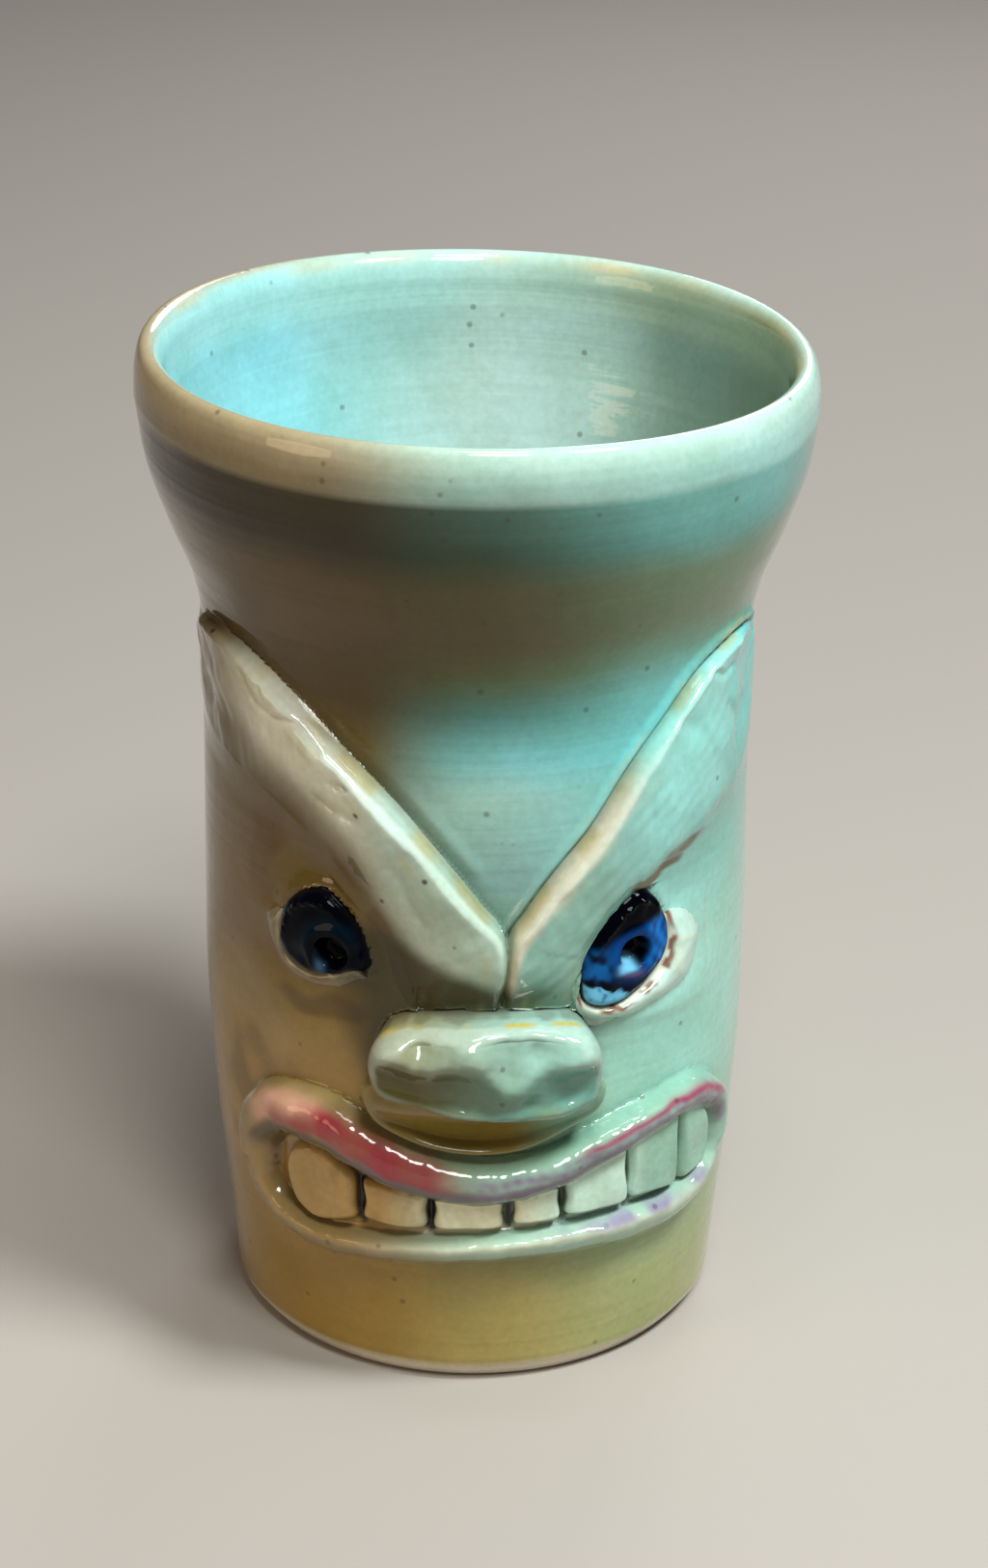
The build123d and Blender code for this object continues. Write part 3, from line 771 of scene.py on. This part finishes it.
def lip_colour(p, piece, upper):
    """Pink and mauve underglaze brushed along the coil, more of it on the upper lip's left and top. Each
    coil's lower side is darker with painted shade, and the lower lip's crest is paler, partly painted
    highlight.
    """
    far, place, side = nearest(p, piece.line)
    across = far * side / (along(piece.line, place, 2) / 2)
    angle = degrees_round(p) + 2 * wobble(p, 10, 31)
    patch, fine = wobble(p, 6, 32), wobble(p, 2.2, 33)
    _, cool_and_lit = celadon(p)
    corner = mix((160, 132, 88), (158, 196, 178), cool_and_lit)
    at_end = ramp(np.abs(degrees_round(p) - 4), 46, 52)
    if upper:
        colour = mix((148, 128, 84), (150, 188, 168), ramp(cool_and_lit, 0.1, 0.75))
        # The upper lip's lower face, which faces down, is darker: partly its glaze, partly painted shade
        low = 1 - ramp(across, -0.35, -0.05)
        colour = mix(colour, mix((84, 68, 40), (92, 116, 102), ramp(cool_and_lit, 0.2, 0.9)), low * 0.9)
        mauve = window(angle, -34, -18, 60, 66)
        low_band = 1 - ramp(np.abs(across + 0.28 + 0.1 * patch), 0.12, 0.42)
        colour = mix(colour, (104, 90, 104), low_band * mauve * 0.75)
        pink = window(angle, -49, -42, -9, -1)
        band = 1 - ramp(np.abs(across - 0.36 + 0.14 * patch), 0.40, 0.66)
        deep = ramp(angle + 6 * patch - 14 * (across - 0.2), -46, -31)
        rose = mix((226, 170, 150), (160, 54, 66), deep)
        brushed = np.clip(0.85 + 0.18 * wobble(p, 9, 34), 0, 1)
        colour = mix(colour, rose, band * pink * brushed)
        lilac = window(angle, -6, 3, 56, 62)
        top_band = 1 - ramp(np.abs(across - 0.1), 0.3, 0.6)
        colour = mix(colour, (128, 112, 136), top_band * lilac * (0.6 + 0.3 * fine))
        magenta = window(angle, 18, 26, 57, 62)
        thin = peak(across + 0.1 * patch, 0.46, 0.13 + 0.14 * ramp(angle, 38, 50))
        colour = mix(colour, (156, 56, 92), thin * magenta * 0.9)
        outer = ramp(across, 0.62, 0.95)
        colour = mix(colour, mix((150, 128, 66), (128, 186, 166), cool_and_lit), outer * 0.6)
        return mix(colour, corner, at_end * (1 - ramp(p[:, 1], 34, 39)))
    colour = mix((138, 118, 76), (158, 196, 178), ramp(cool_and_lit, 0.1, 0.7))
    # The lower lip's crest is paler: partly cream glaze, partly painted highlight
    crest = peak(across, 0.42, 0.28)
    colour = mix(colour, mix((176, 146, 88), (216, 226, 202), ramp(cool_and_lit, 0.1, 0.45)), crest * 0.85)
    mauve = window(angle, 12, 22, 60, 70) * ramp(patch, -0.7, 0.3)
    colour = mix(colour, (148, 126, 172), peak(across, 0.72, 0.25) * mauve * 0.8)
    # The lower lip's underside is darker: painted shade
    under = 1 - ramp(across, -0.8, -0.1)
    colour = mix(colour, mix((106, 78, 28), (138, 150, 108), cool_and_lit), under * 0.8)
    colour = mix(colour, (150, 96, 140), peak(across, 0.1, 0.35) * ramp(angle, 52, 57) * 0.6)
    return mix(colour, corner, at_end * ramp(p[:, 1], 27, 33))


def tooth_base(p):
    """The thin brown-green glaze over the teeth."""
    angle = degrees_round(p)
    colour = mix((178, 144, 84), (234, 232, 202), ramp(angle, -20, -4))
    colour = mix(colour, (206, 238, 224), ramp(angle, 4, 22))
    colour = mix(colour, (154, 196, 178), ramp(angle, 31, 39))
    stain = ramp(wobble(p, 5, 41), 0.2, 1.0) * (1 - ramp(angle, -20, 10))
    return mix(colour, (120, 88, 42), stain * 0.35)


def tooth_colour(p, piece):
    # The teeth's edges take the gaps' dark colour: partly painted shade
    edge = 1 - ramp(depth_in(p, piece.outline), 0.0, 0.30)
    return mix(tooth_base(p), slit_shade(p) + 0.01, edge)


def slit_shade(p):
    """The gaps between the teeth: black on the left, green-brown on the right, partly painted shade in the
    deep gaps.
    """
    return mix((16, 8, 3), (78, 92, 66), ramp(degrees_round(p), 12, 24))


def wall_colour(p):
    """The wall's glaze, with dark slits between the teeth and the mouth's floor darker, partly painted
    shade, and a bare pale bevel at the foot.
    """
    colour = glazed(p)
    near = near_mouth(p)
    if near.any():
        q = p[near]
        gum = ramp(depth_in(q, MOUTH_LINE), -0.6, 0.4)
        # The wall within the mouth takes the teeth's glaze a quarter darker: painted shade in the mouth's
        # recess
        colour[near] = mix(colour[near], tooth_base(q) * 0.75, gum * 0.9)
        first, second = np.full(len(q), 99.0), np.full(len(q), 99.0)
        for i in range(1, 8):
            gap = -depth_in(q, PIECES[f"tooth_{i}"].outline)
            second = np.minimum(second, np.maximum(first, gap))
            first = np.minimum(first, gap)
        # Dark slits between the teeth: partly painted shade
        slot = (1 - ramp(second, 1.1, 1.9)) * gum
        colour[near] = mix(colour[near], slit_shade(q), slot)
    return mix(colour, (214, 204, 182), 1 - ramp(p[:, 1], 2.5, 2.9))


def eye_colour(p, piece, left):
    """Cobalt over black, with light blue where the glaze pooled, and the poked pupil black, partly painted
    shadow in the hole.
    """
    edge = depth_in(p, piece.outline)
    d = p - piece.pupil
    r = np.linalg.norm(d, axis=1)
    patch, fine = wobble(p, 4.0, 51), wobble(p, 1.6, 52)
    colour = np.tile(rgb(3, 5, 14), (len(p), 1))
    if left:
        arc = peak(r, 4.4, 0.9) * ramp(d[:, 1] - 0.5 * d[:, 0], -2, 3)
        colour = mix(colour, (6, 30, 44), arc * 0.6)
        rim = (1 - ramp(edge, 0.6, 2.2)) * ramp(-d[:, 0], 4, 8)
        colour = mix(colour, (20, 52, 74), rim * ramp(patch, -0.3, 0.5))
        streak = peak(d[:, 0], -1.6, 0.7) * window(-d[:, 1], -1, 2, 3, 5)
        colour = mix(colour, (70, 110, 140), streak * 0.6)
    else:
        iris = peak(r, 3.3, 1.3)
        colour = mix(colour, (4, 58, 122), iris)
        right = ramp(d[:, 0], 0.5, 3.5) * (1 - ramp(np.abs(d[:, 1] - 1.0), 2.6, 4.6)) * ramp(edge, 0.5, 1.2)
        colour = mix(colour, (22, 108, 190), np.clip(right * (0.65 + 0.5 * fine), 0, 1))
        left_side = ramp(-d[:, 0], 2.5, 5) * (1 - ramp(np.abs(d[:, 1] + 1.0), 1.5, 3.5))
        colour = mix(colour, (16, 88, 152), left_side * ramp(patch + 0.5 * fine, -0.6, 0.4))
        colour = mix(colour, (2, 3, 8), ramp(d[:, 1] - 0.3 * d[:, 0], 3.0, 4.6))
        low = ramp(-d[:, 1] - 0.45 * d[:, 0] + 0.6 * patch + 0.4 * fine, 6.5, 7.0) * ramp(edge, 0.15, 0.4)
        colour = mix(colour, (112, 190, 224), low * 0.95)
        colour = mix(colour, (24, 70, 128), low * ramp(fine, 0.3, 0.8) * 0.6)
    # Black over the pupil: partly painted shadow in the poked hole
    colour = mix(colour, (2, 3, 7), 1 - ramp(r, 0.85 * PUPIL_RADIUS, 1.1 * PUPIL_RADIUS))
    if not left:
        pool = np.exp(-((d[:, 0] + 1.3) / 1.7)**4 - ((d[:, 1] + 2.0) / 0.95)**4)
        colour = mix(colour, (116, 190, 226), pool * 0.95)
        mauve = np.exp(-((d[:, 0] + 0.6) / 1.9)**4 - ((d[:, 1] + 3.3 - 0.06 * d[:, 0]**2) / 0.42)**2)
        colour = mix(colour, (92, 68, 96), mauve * 0.9)
    return mix(colour, (18, 16, 20), (1 - ramp(edge, 0.05, 0.4)) * 0.8)


def lid_colour(p, eye):
    """The wall's glaze, worn to white and rust along the eye."""
    right = p[:, 0] > 0
    colour = mix(glazed(p), (214, 232, 220), np.where(right, 0.55, 0.12))
    away = 0.25 * wobble(p, 2.2, 61) - depth_in(p, eye.outline)
    lip = 1 - ramp(away, 0.5, 0.8)
    colour = mix(colour, (222, 226, 206), lip * np.where(right, 0.8, 0.25))
    rust = window(away, 0.30, 0.45, 0.75, 1.2) * ramp(wobble(p, 4.0, 62), -0.5, 0.2)
    return mix(colour, (122, 62, 24), rust * np.where(right, 0.9, 0.27))


def nose_colour(p, pad):
    """The nose's pale shelf and darker front with yellow along the top, or the olive pad under it. The pale
    shelf is partly painted light, and the darker front and pad are partly painted shade, for they face
    down.
    """
    sharp = sample(SHARP, p)
    angle = degrees_round(p)
    if pad:
        # The pad's dark olive: partly glaze, partly painted shade on its face, which leans back and faces
        # down
        colour = mix((126, 108, 50), (126, 176, 154), ramp(angle, 6, 20))
        return mix(colour, (150, 146, 96), ramp(sharp, 0.05, 0.4) * 0.2)
    # The shelf is paler than the front: partly glaze, partly painted light on the upward shelf and painted
    # shade on the front
    shelf = mix((138, 134, 98), (152, 194, 184), ramp(angle, -18, 14))
    front = mix((88, 82, 42), (104, 152, 140), ramp(angle, -12, 14))
    colour = mix(shelf, front, ramp(nose_ridge(angle) - p[:, 1], -2.0, 1.5))
    # Pale along the crests: partly glaze thin over them, partly painted highlight
    crest = ramp(sharp, 0.10, 0.40) * (0.1 + 0.25 * ramp(p[:, 1], 52, 58))
    colour = mix(colour, (206, 222, 210), crest)
    stood = PIECES["nose_lump"].height(p)[0]
    stain = ramp(wobble(p, 6, 71), -0.5, 0.1) * peak(stood, 4.6, 0.5) * (p[:, 1] > 62)
    colour = mix(colour, (196, 172, 50), stain * 0.9)
    low = ramp(wobble(p, 9, 72), 0.0, 0.9) * ramp(55.5 - p[:, 1], 0, 4)
    colour = mix(colour, (136, 138, 72), low * 0.4)
    return mix(colour, (84, 74, 38), ramp(-sharp, 0.1, 0.45) * 0.5)


def inside_colour(p):
    """Pale blue-green on the left, milky in the middle, olive on the right, paler towards the floor: partly
    the glaze, partly painted light on the lit left wall and the floor, and painted shade on the shaded
    right wall.
    """
    q, z = folded(p), p[:, 1]
    side = -degrees_round(q) / 90 + 0.10 * wobble(q, 30, 82)
    # Olive on the right and pale aqua on the left: partly glaze, partly painted shade and painted light
    colour = mix((86, 98, 56), (172, 198, 190), ramp(side, -0.95, -0.10))
    colour = mix(colour, (136, 206, 216), ramp(side, -0.1, 0.6))
    # Paler towards the floor: partly glaze, partly painted light
    floor_tint_and_light = mix((176, 172, 132), (212, 230, 230), ramp(side, -0.7, 0.1))
    colour = mix(colour, floor_tint_and_light, (1 - ramp(z, 45, 112)) * 0.9)
    top_tint = mix((164, 176, 140), (172, 222, 216), ramp(side, -0.6, 0.3))
    return mix(colour, top_tint, ramp(z, 139, 145) * 0.6)


def rim_colour(p, r):
    """The wall's glaze, thin and pale over the rim's roll, turning to the inside's colour."""
    z = p[:, 1]
    colour, cool_and_lit = celadon(p)
    pale = mix((178, 164, 130), (180, 208, 198), ramp(cool_and_lit, 0.05, 0.5))
    colour = mix(colour, pale, 0.4 + 0.3 * ramp(z, 147, 150))
    colour = mix(colour, inside_colour(p), 1 - ramp(r, 44.8, 46.6))
    warm = peak(z, 149.0, 0.8) * ramp(wobble(p, 14, 81), -0.3, 0.6) * (r < 46.6)
    return mix(colour, (200, 178, 128), warm * 0.6)


# ---- meshes

def grid_normals(grid, closed):
    """The normals of a grid of points, pointing out of its front."""
    along_rows = np.gradient(grid, axis=0)
    if closed:
        along_columns = np.roll(grid, -1, 1) - np.roll(grid, 1, 1)
    else:
        along_columns = np.gradient(grid, axis=1)
    n = np.cross(along_columns, along_rows)
    return n / np.maximum(np.linalg.norm(n, axis=-1, keepdims=True), 1e-12)


# How deep a piece's back lies in the wall, or an eye's in its socket, and a piece's least thickness
DEPTH, SOCKET_DEPTH, LEAST_THICKNESS = 1.6, 3.2, 0.7


def mesh_object(node, vertices, faces, colours, normals):
    """A painted mesh in place of a CAD node."""
    mesh = bpy.data.meshes.new(node + "_clay")
    mesh.from_pydata(vertices.tolist(), [], faces)
    paint = mesh.color_attributes.new("glaze", "FLOAT_COLOR", "POINT")
    opaque = np.column_stack([np.clip(colours, 0, 1), np.ones(len(colours))])
    paint.data.foreach_set("color", opaque.ravel())
    mesh.polygons.foreach_set("use_smooth", [True] * len(mesh.polygons))
    mesh.normals_split_custom_set_from_vertices(normals.tolist())
    piece = bpy.data.objects.new(node + "_clay", mesh)
    bpy.context.scene.collection.objects.link(piece)
    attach(piece, "root")
    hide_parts(node)
    return piece


def sheet_faces(rows, columns, closed, start=0, flip=False):
    """Quads over a grid of points, joined end to end across its columns when closed."""
    faces = []
    for i in range(rows - 1):
        for j in range(columns if closed else columns - 1):
            k = (j + 1) % columns
            a, b = start + i * columns + j, start + i * columns + k
            c, d = start + (i + 1) * columns + k, start + (i + 1) * columns + j
            faces.append((a, d, c, b) if flip else (a, b, c, d))
    return faces


def slab_object(name, closed, colour, depth):
    """A closed piece: its front follows the relief and its back is buried in the wall."""
    grid = PIECES[name].grid()
    rows, columns = grid.shape[:2]
    turn = grid[1:-1, 1:] - grid[1:-1, :-1]
    rise = grid[2:, 1:] - grid[:-2, 1:]
    if (turn[..., 0] * rise[..., 1] - turn[..., 1] * rise[..., 0]).sum() < 0:
        grid = grid[:, ::-1]
    p = grid.reshape(-1, 2)
    shared, own = surface(p, name)
    front = placed(p, np.maximum(own, LEAST_THICKNESS - depth))
    back = placed(p, np.full(len(p), -depth))
    normals = grid_normals(placed(p, shared).reshape(rows, columns, 3), closed).reshape(-1, 3)
    angle = np.radians(degrees_round(p))
    inward = np.stack([-np.sin(angle), np.cos(angle), 0 * angle], 1)
    count = rows * columns
    ids = np.arange(count).reshape(rows, columns)
    faces = sheet_faces(rows, columns, closed) + sheet_faces(rows, columns, closed, count, flip=True)
    if closed:
        border = ids[-1, ::-1].tolist()
        faces += [tuple(ids[0, ::-1].tolist()), tuple((ids[0] + count).tolist())]
    else:
        border = np.concatenate([ids[0], ids[1:, -1], ids[-1, -2::-1], ids[-2:0:-1, 0]]).tolist()
    for a, b in zip(border, border[1:] + border[:1]):
        faces.append((b, a, a + count, b + count))
    tint = colour(p)
    return mesh_object(name, np.vstack([front, back]), faces, np.vstack([tint, tint]),
                       np.vstack([normals, inward]))


FOOT_PROFILE = [(9.0, 1.6), (18.0, 1.6), (27.0, 1.6), (27.6, 1.5), (28.6, 0.4), (29.2, 0.05), (29.8, 0.0),
                (32.5, 0.0), (34.3, 0.0), (34.9, 0.12), (35.4, 0.6), (36.2, 1.7)]
FLOOR_PROFILE = [(20.0, 8.0), (14.0, 7.7), (7.0, 7.5)]
FLOOR_MIDDLE = 7.4
FOOT_TOP, FACE_LOW, RIM_LOW = 2.6, 17.5, 143
EYE_HOLE_DEPTH = 3.4


def cup_object():
    """The thrown cup as rings, from the middle of the foot up the outside, over the rim and down inside."""
    face = np.arange(-94, 92.01, 0.72)
    back = np.arange(96, 262, 5.0)
    angles = np.concatenate([face, back])
    heights = np.concatenate([np.linspace(FOOT_TOP, FACE_LOW, 16)[:-1], np.arange(FACE_LOW, 117, 0.54),
                              np.linspace(117.5, RIM_LOW, 26)[:-1]])
    rim = resample(catmull(RIM_ROLL), 24)
    inner = resample(catmull(INNER_WALL), 62)
    rings, tints, shapes = [], [], []
    around = angles * UNROLL
    turn = np.radians(angles)

    def plain_ring(r, z, tint):
        rings.append(settle(r * np.sin(turn), -r * np.cos(turn), np.full(len(turn), z)))
        shapes.append(rings[-1])
        tints.append(tint)

    def ring_points(z):
        return np.stack([around, np.full(len(around), z)], 1)

    bare = np.tile(rgb(226, 216, 198), (len(angles), 1))
    for r, z in FOOT_PROFILE:
        plain_ring(r, z, bare)
    sides = np.stack([np.tile(around, len(heights)), np.repeat(heights, len(angles))], 1)
    shared, relief_height = surface(sides)
    for eye in (PIECES[name] for name in EYES):
        relief_height -= EYE_HOLE_DEPTH * ramp(depth_in(sides, eye.outline), 0.4, 1.6)
    relief_height *= 1 - ramp(np.abs(degrees_round(sides)), 180, 181)
    outer = placed(sides, relief_height).reshape(len(heights), len(angles), 3)
    outer_shape = placed(sides, shared).reshape(outer.shape)
    outer_tint = wall_colour(sides).reshape(outer.shape)
    for ring, shape, tint in zip(outer, outer_shape, outer_tint):
        rings.append(ring)
        shapes.append(shape)
        tints.append(tint)
    for r, z in rim:
        plain_ring(r, z, rim_colour(ring_points(z), r))
    for r, z in np.vstack([inner[1:], FLOOR_PROFILE]):
        plain_ring(r, z, inside_colour(ring_points(z)))
    rows, columns = len(rings), len(angles)
    middles = [[0, 0, FOOT_PROFILE[0][1] / 1000], [0, 0, FLOOR_MIDDLE / 1000]]
    vertices = np.vstack(rings + [middles])
    colours = np.vstack([np.vstack(tints), bare[:1], tints[-1][:1]])
    faces = sheet_faces(rows, columns, True)
    low, high = rows * columns, rows * columns + 1
    for j in range(columns):
        k = (j + 1) % columns
        faces.append((low, k, j))
        faces.append((high, (rows - 1) * columns + j, (rows - 1) * columns + k))
    normals = grid_normals(np.array(shapes), True).reshape(-1, 3)
    normals = np.vstack([normals, [[0, 0, -1], [0, 0, 1]]])
    return mesh_object("thrown_cup", vertices, faces, colours, normals)


# ---- materials

class Nodes:
    """Adds shader nodes to a material and joins them up."""

    def __init__(self, material):
        material.use_nodes = True
        self.tree = material.node_tree
        self.shader = self.tree.nodes["Principled BSDF"]
        self.place = self.add("TexCoord").outputs["Object"]

    def add(self, kind, **inputs):
        """A node with its inputs set to values or joined to other nodes' outputs."""
        node = self.tree.nodes.new("ShaderNode" + kind)
        for name, value in inputs.items():
            self.put(node.inputs[name.replace("_", " ")], value)
        return node

    def put(self, socket, value):
        if isinstance(value, bpy.types.NodeSocket):
            self.tree.links.new(value, socket)
        elif isinstance(value, tuple) and socket.type == "RGBA":
            socket.default_value = (*value, 1)
        else:
            socket.default_value = value

    def noise(self, scale, detail, vector=None):
        node = self.add("TexNoise", Scale=scale, Detail=detail, Roughness=0.55, Vector=vector or self.place)
        return node.outputs["Fac"]

    def scaled(self, value, low, high, to_low, to_high):
        node = self.add("MapRange", Value=value, From_Min=low, From_Max=high, To_Min=to_low, To_Max=to_high)
        return node.outputs["Result"]

    def blend(self, kind, factor, a, b):
        node = self.add("Mix")
        node.data_type, node.blend_type = "RGBA", kind
        for socket, value in ((0, factor), (6, a), (7, b)):
            self.put(node.inputs[socket], value)
        return node.outputs[2]


# Three mottles in the glaze: noise scale and detail, strength, range, and the tints at its low and high end
MOTTLES = [
    (70, 4, 5, 0.32, 0.68, (0.80, 0.84, 0.74), (1.18, 1.13, 1.16)),
    (26, 3, 4, 0.38, 0.70, (1.10, 1.10, 1.14), (0.82, 0.80, 0.66)),
    (900, 2, 6, 0.3, 0.7, (0.90, 0.90, 0.88), (1.08, 1.08, 1.10)),
]


def mottled(nodes, colour, mottle):
    for scale, detail, share, low, high, dark, light in MOTTLES:
        tint = nodes.blend("MIX", nodes.scaled(nodes.noise(scale, detail), low, high, 0, 1), dark, light)
        colour = nodes.blend("MULTIPLY", mottle * share, colour, tint)
    return colour


def specked(nodes, colour, speck):
    """Iron specks: small dark spots in a few of the cells of a Voronoi texture."""
    cells = nodes.add("TexVoronoi", Scale=250, Vector=nodes.place)
    mask = nodes.add("Math")
    mask.operation = "MULTIPLY"
    nodes.put(mask.inputs[0], nodes.scaled(cells.outputs["Color"], 0.68, 0.70, 0.0, 1.0))
    nodes.put(mask.inputs[1], nodes.scaled(cells.outputs["Distance"], 0.07, 0.15, speck, 0.0))
    return nodes.blend("MIX", mask.outputs["Value"], colour, (0.045, 0.03, 0.015))


def skinned(nodes, rings, peel):
    """Faint throwing rings, and over them the fine unevenness of the glaze's surface."""
    stretch = nodes.add("Mapping", Scale=(4, 4, 420), Vector=nodes.place)
    turning = nodes.add("Bump", Distance=rings, Height=nodes.noise(1.0, 2, stretch.outputs["Vector"]))
    skin = nodes.add("Bump", Distance=peel, Height=nodes.noise(330, 2), Normal=turning.outputs["Normal"])
    return skin.outputs["Normal"]


def glaze_material(name, speck=0.5, rough=0.30, mottle=0.10, peel=0.00005, rings=0.00003, gloss=1.42,
                   under=1.15):
    """Glossy glaze: the painted colour with mottling, iron specks, throwing rings and an uneven gloss."""
    material = bpy.data.materials.new(name)
    nodes = Nodes(material)
    paint = nodes.add("Attribute")
    paint.attribute_name = "glaze"
    normal = skinned(nodes, rings, peel)
    looks = {
        "Base Color": specked(nodes, mottled(nodes, paint.outputs["Color"], mottle), speck),
        "Normal": normal,
        "Coat Normal": normal,
        "Roughness": nodes.scaled(nodes.noise(160, 3), 0.3, 0.7, rough, rough + 0.14),
        "Coat Weight": 1.0,
        "Coat Roughness": 0.04,
        "Coat IOR": gloss,
        "IOR": under,
    }
    for socket, value in looks.items():
        nodes.put(nodes.shader.inputs[socket], value)
    return material


MATERIALS = {
    "glaze_body": glaze_material("celadon_wall", rings=0.00012),
    "glaze_brow": glaze_material("celadon_brow", speck=0.85),
    "glaze_nose": glaze_material("celadon_nose"),
    "glaze_lid": glaze_material("celadon_lid"),
    "glaze_lip": glaze_material("lip_glaze", mottle=0.08),
    "glaze_tooth": glaze_material("tooth_glaze", mottle=0.14),
    "glaze_eye": glaze_material("cobalt_glaze", speck=0.0, rough=0.05, mottle=0.0, peel=0.000012,
                                rings=0.0, gloss=1.15, under=1.02),
}


def finish_piece(piece, slot):
    piece.data.materials.append(MATERIALS[slot])


def add(name, closed, colour, slot, depth=DEPTH):
    finish_piece(slab_object(name, closed, colour, depth), slot)


finish_piece(cup_object(), "glaze_body")
for side in ("left", "right"):
    left, brow, eye = side == "left", PIECES[f"{side}_brow"], PIECES[f"{side}_eye"]
    add(f"{side}_brow", False, lambda p: brow_colour(p, brow, left), "glaze_brow")
    add(f"{side}_eye", True, lambda p: eye_colour(p, eye, left), "glaze_eye", SOCKET_DEPTH)
    add(f"{side}_lower_lid", False, lambda p: lid_colour(p, eye), "glaze_lid")
for name in ("nose_lump", "nose_pad"):
    add(name, True, lambda p: nose_colour(p, name == "nose_pad"), "glaze_nose")
for name in ("upper_lip", "lower_lip"):
    add(name, False, lambda p: lip_colour(p, PIECES[name], name == "upper_lip"), "glaze_lip")
for number in range(1, 8):
    name = f"tooth_{number}"
    add(name, True, lambda p: tooth_colour(p, PIECES[name]), "glaze_tooth")


# ---- floor, lights, camera

def floor_object():
    mesh = bpy.data.meshes.new("floor")
    mesh.from_pydata([(-4, -4, 0), (4, -4, 0), (4, 4, 0), (-4, 4, 0)], [], [(0, 1, 2, 3)])
    material = bpy.data.materials.new("pale_floor")
    nodes = Nodes(material)
    nodes.put(nodes.shader.inputs["Base Color"], (0.44, 0.40, 0.36))
    nodes.put(nodes.shader.inputs["Roughness"], 0.85)
    mesh.materials.append(material)
    floor = bpy.data.objects.new("floor", mesh)
    bpy.context.scene.collection.objects.link(floor)


def area_light(name, place, target, size, watts, colour):
    data = bpy.data.lights.new(name, "AREA")
    data.shape, data.size, data.energy, data.color = "DISK", size, watts, colour
    lamp = bpy.data.objects.new(name, data)
    lamp.location = place
    lamp.rotation_mode = "QUATERNION"
    lamp.rotation_quaternion = (Vector(target) - Vector(place)).to_track_quat("-Z", "Y")
    bpy.context.scene.collection.objects.link(lamp)


def camera_object():
    """In front of the face, about half a metre away and looking down by 25 degrees."""
    yaw, pitch, roll = math.radians(0.32), math.radians(24.84), math.radians(0.43)
    turned = (Matrix.Rotation(-yaw, 4, "Z") @ Matrix.Rotation(math.pi / 2 - pitch, 4, "X")
              @ Matrix.Rotation(roll, 4, "Z"))
    data = bpy.data.cameras.new("camera")
    data.sensor_width, data.lens = 36.0, 83.83
    data.clip_start, data.clip_end = 0.01, 50
    camera = bpy.data.objects.new("camera", data)
    camera.matrix_world = Matrix.Translation((0, -0.4933, 0.3095)) @ turned
    bpy.context.scene.collection.objects.link(camera)
    bpy.context.scene.camera = camera


floor_object()
middle = (0, 0, 0.08)
area_light("cool_key", (0.40, -0.25, 0.84), middle, 0.20, 7.5, (0.92, 0.99, 1.0))
area_light("front_soft", (0.12, -0.52, 0.90), middle, 0.26, 4.6, (0.97, 1.0, 0.98))
area_light("top_soft", (0.04, -0.10, 0.80), (0, 0.02, 0.06), 0.16, 0.9, (1.0, 0.98, 0.94))
area_light("back_soft", (0.25, 0.85, 0.55), middle, 0.4, 2.0, (0.96, 0.98, 1.0))
area_light("warm_fill", (-0.80, -0.50, 0.30), middle, 0.4, 1.6, (1.0, 0.72, 0.46))
world = bpy.data.worlds.new("studio")
world.use_nodes = True
sky = world.node_tree.nodes["Background"]
sky.inputs["Color"].default_value = (0.90, 0.88, 0.84, 1)
sky.inputs["Strength"].default_value = 0.12
bpy.context.scene.world = world
bpy.context.scene.view_settings.view_transform = "Standard"
camera_object()
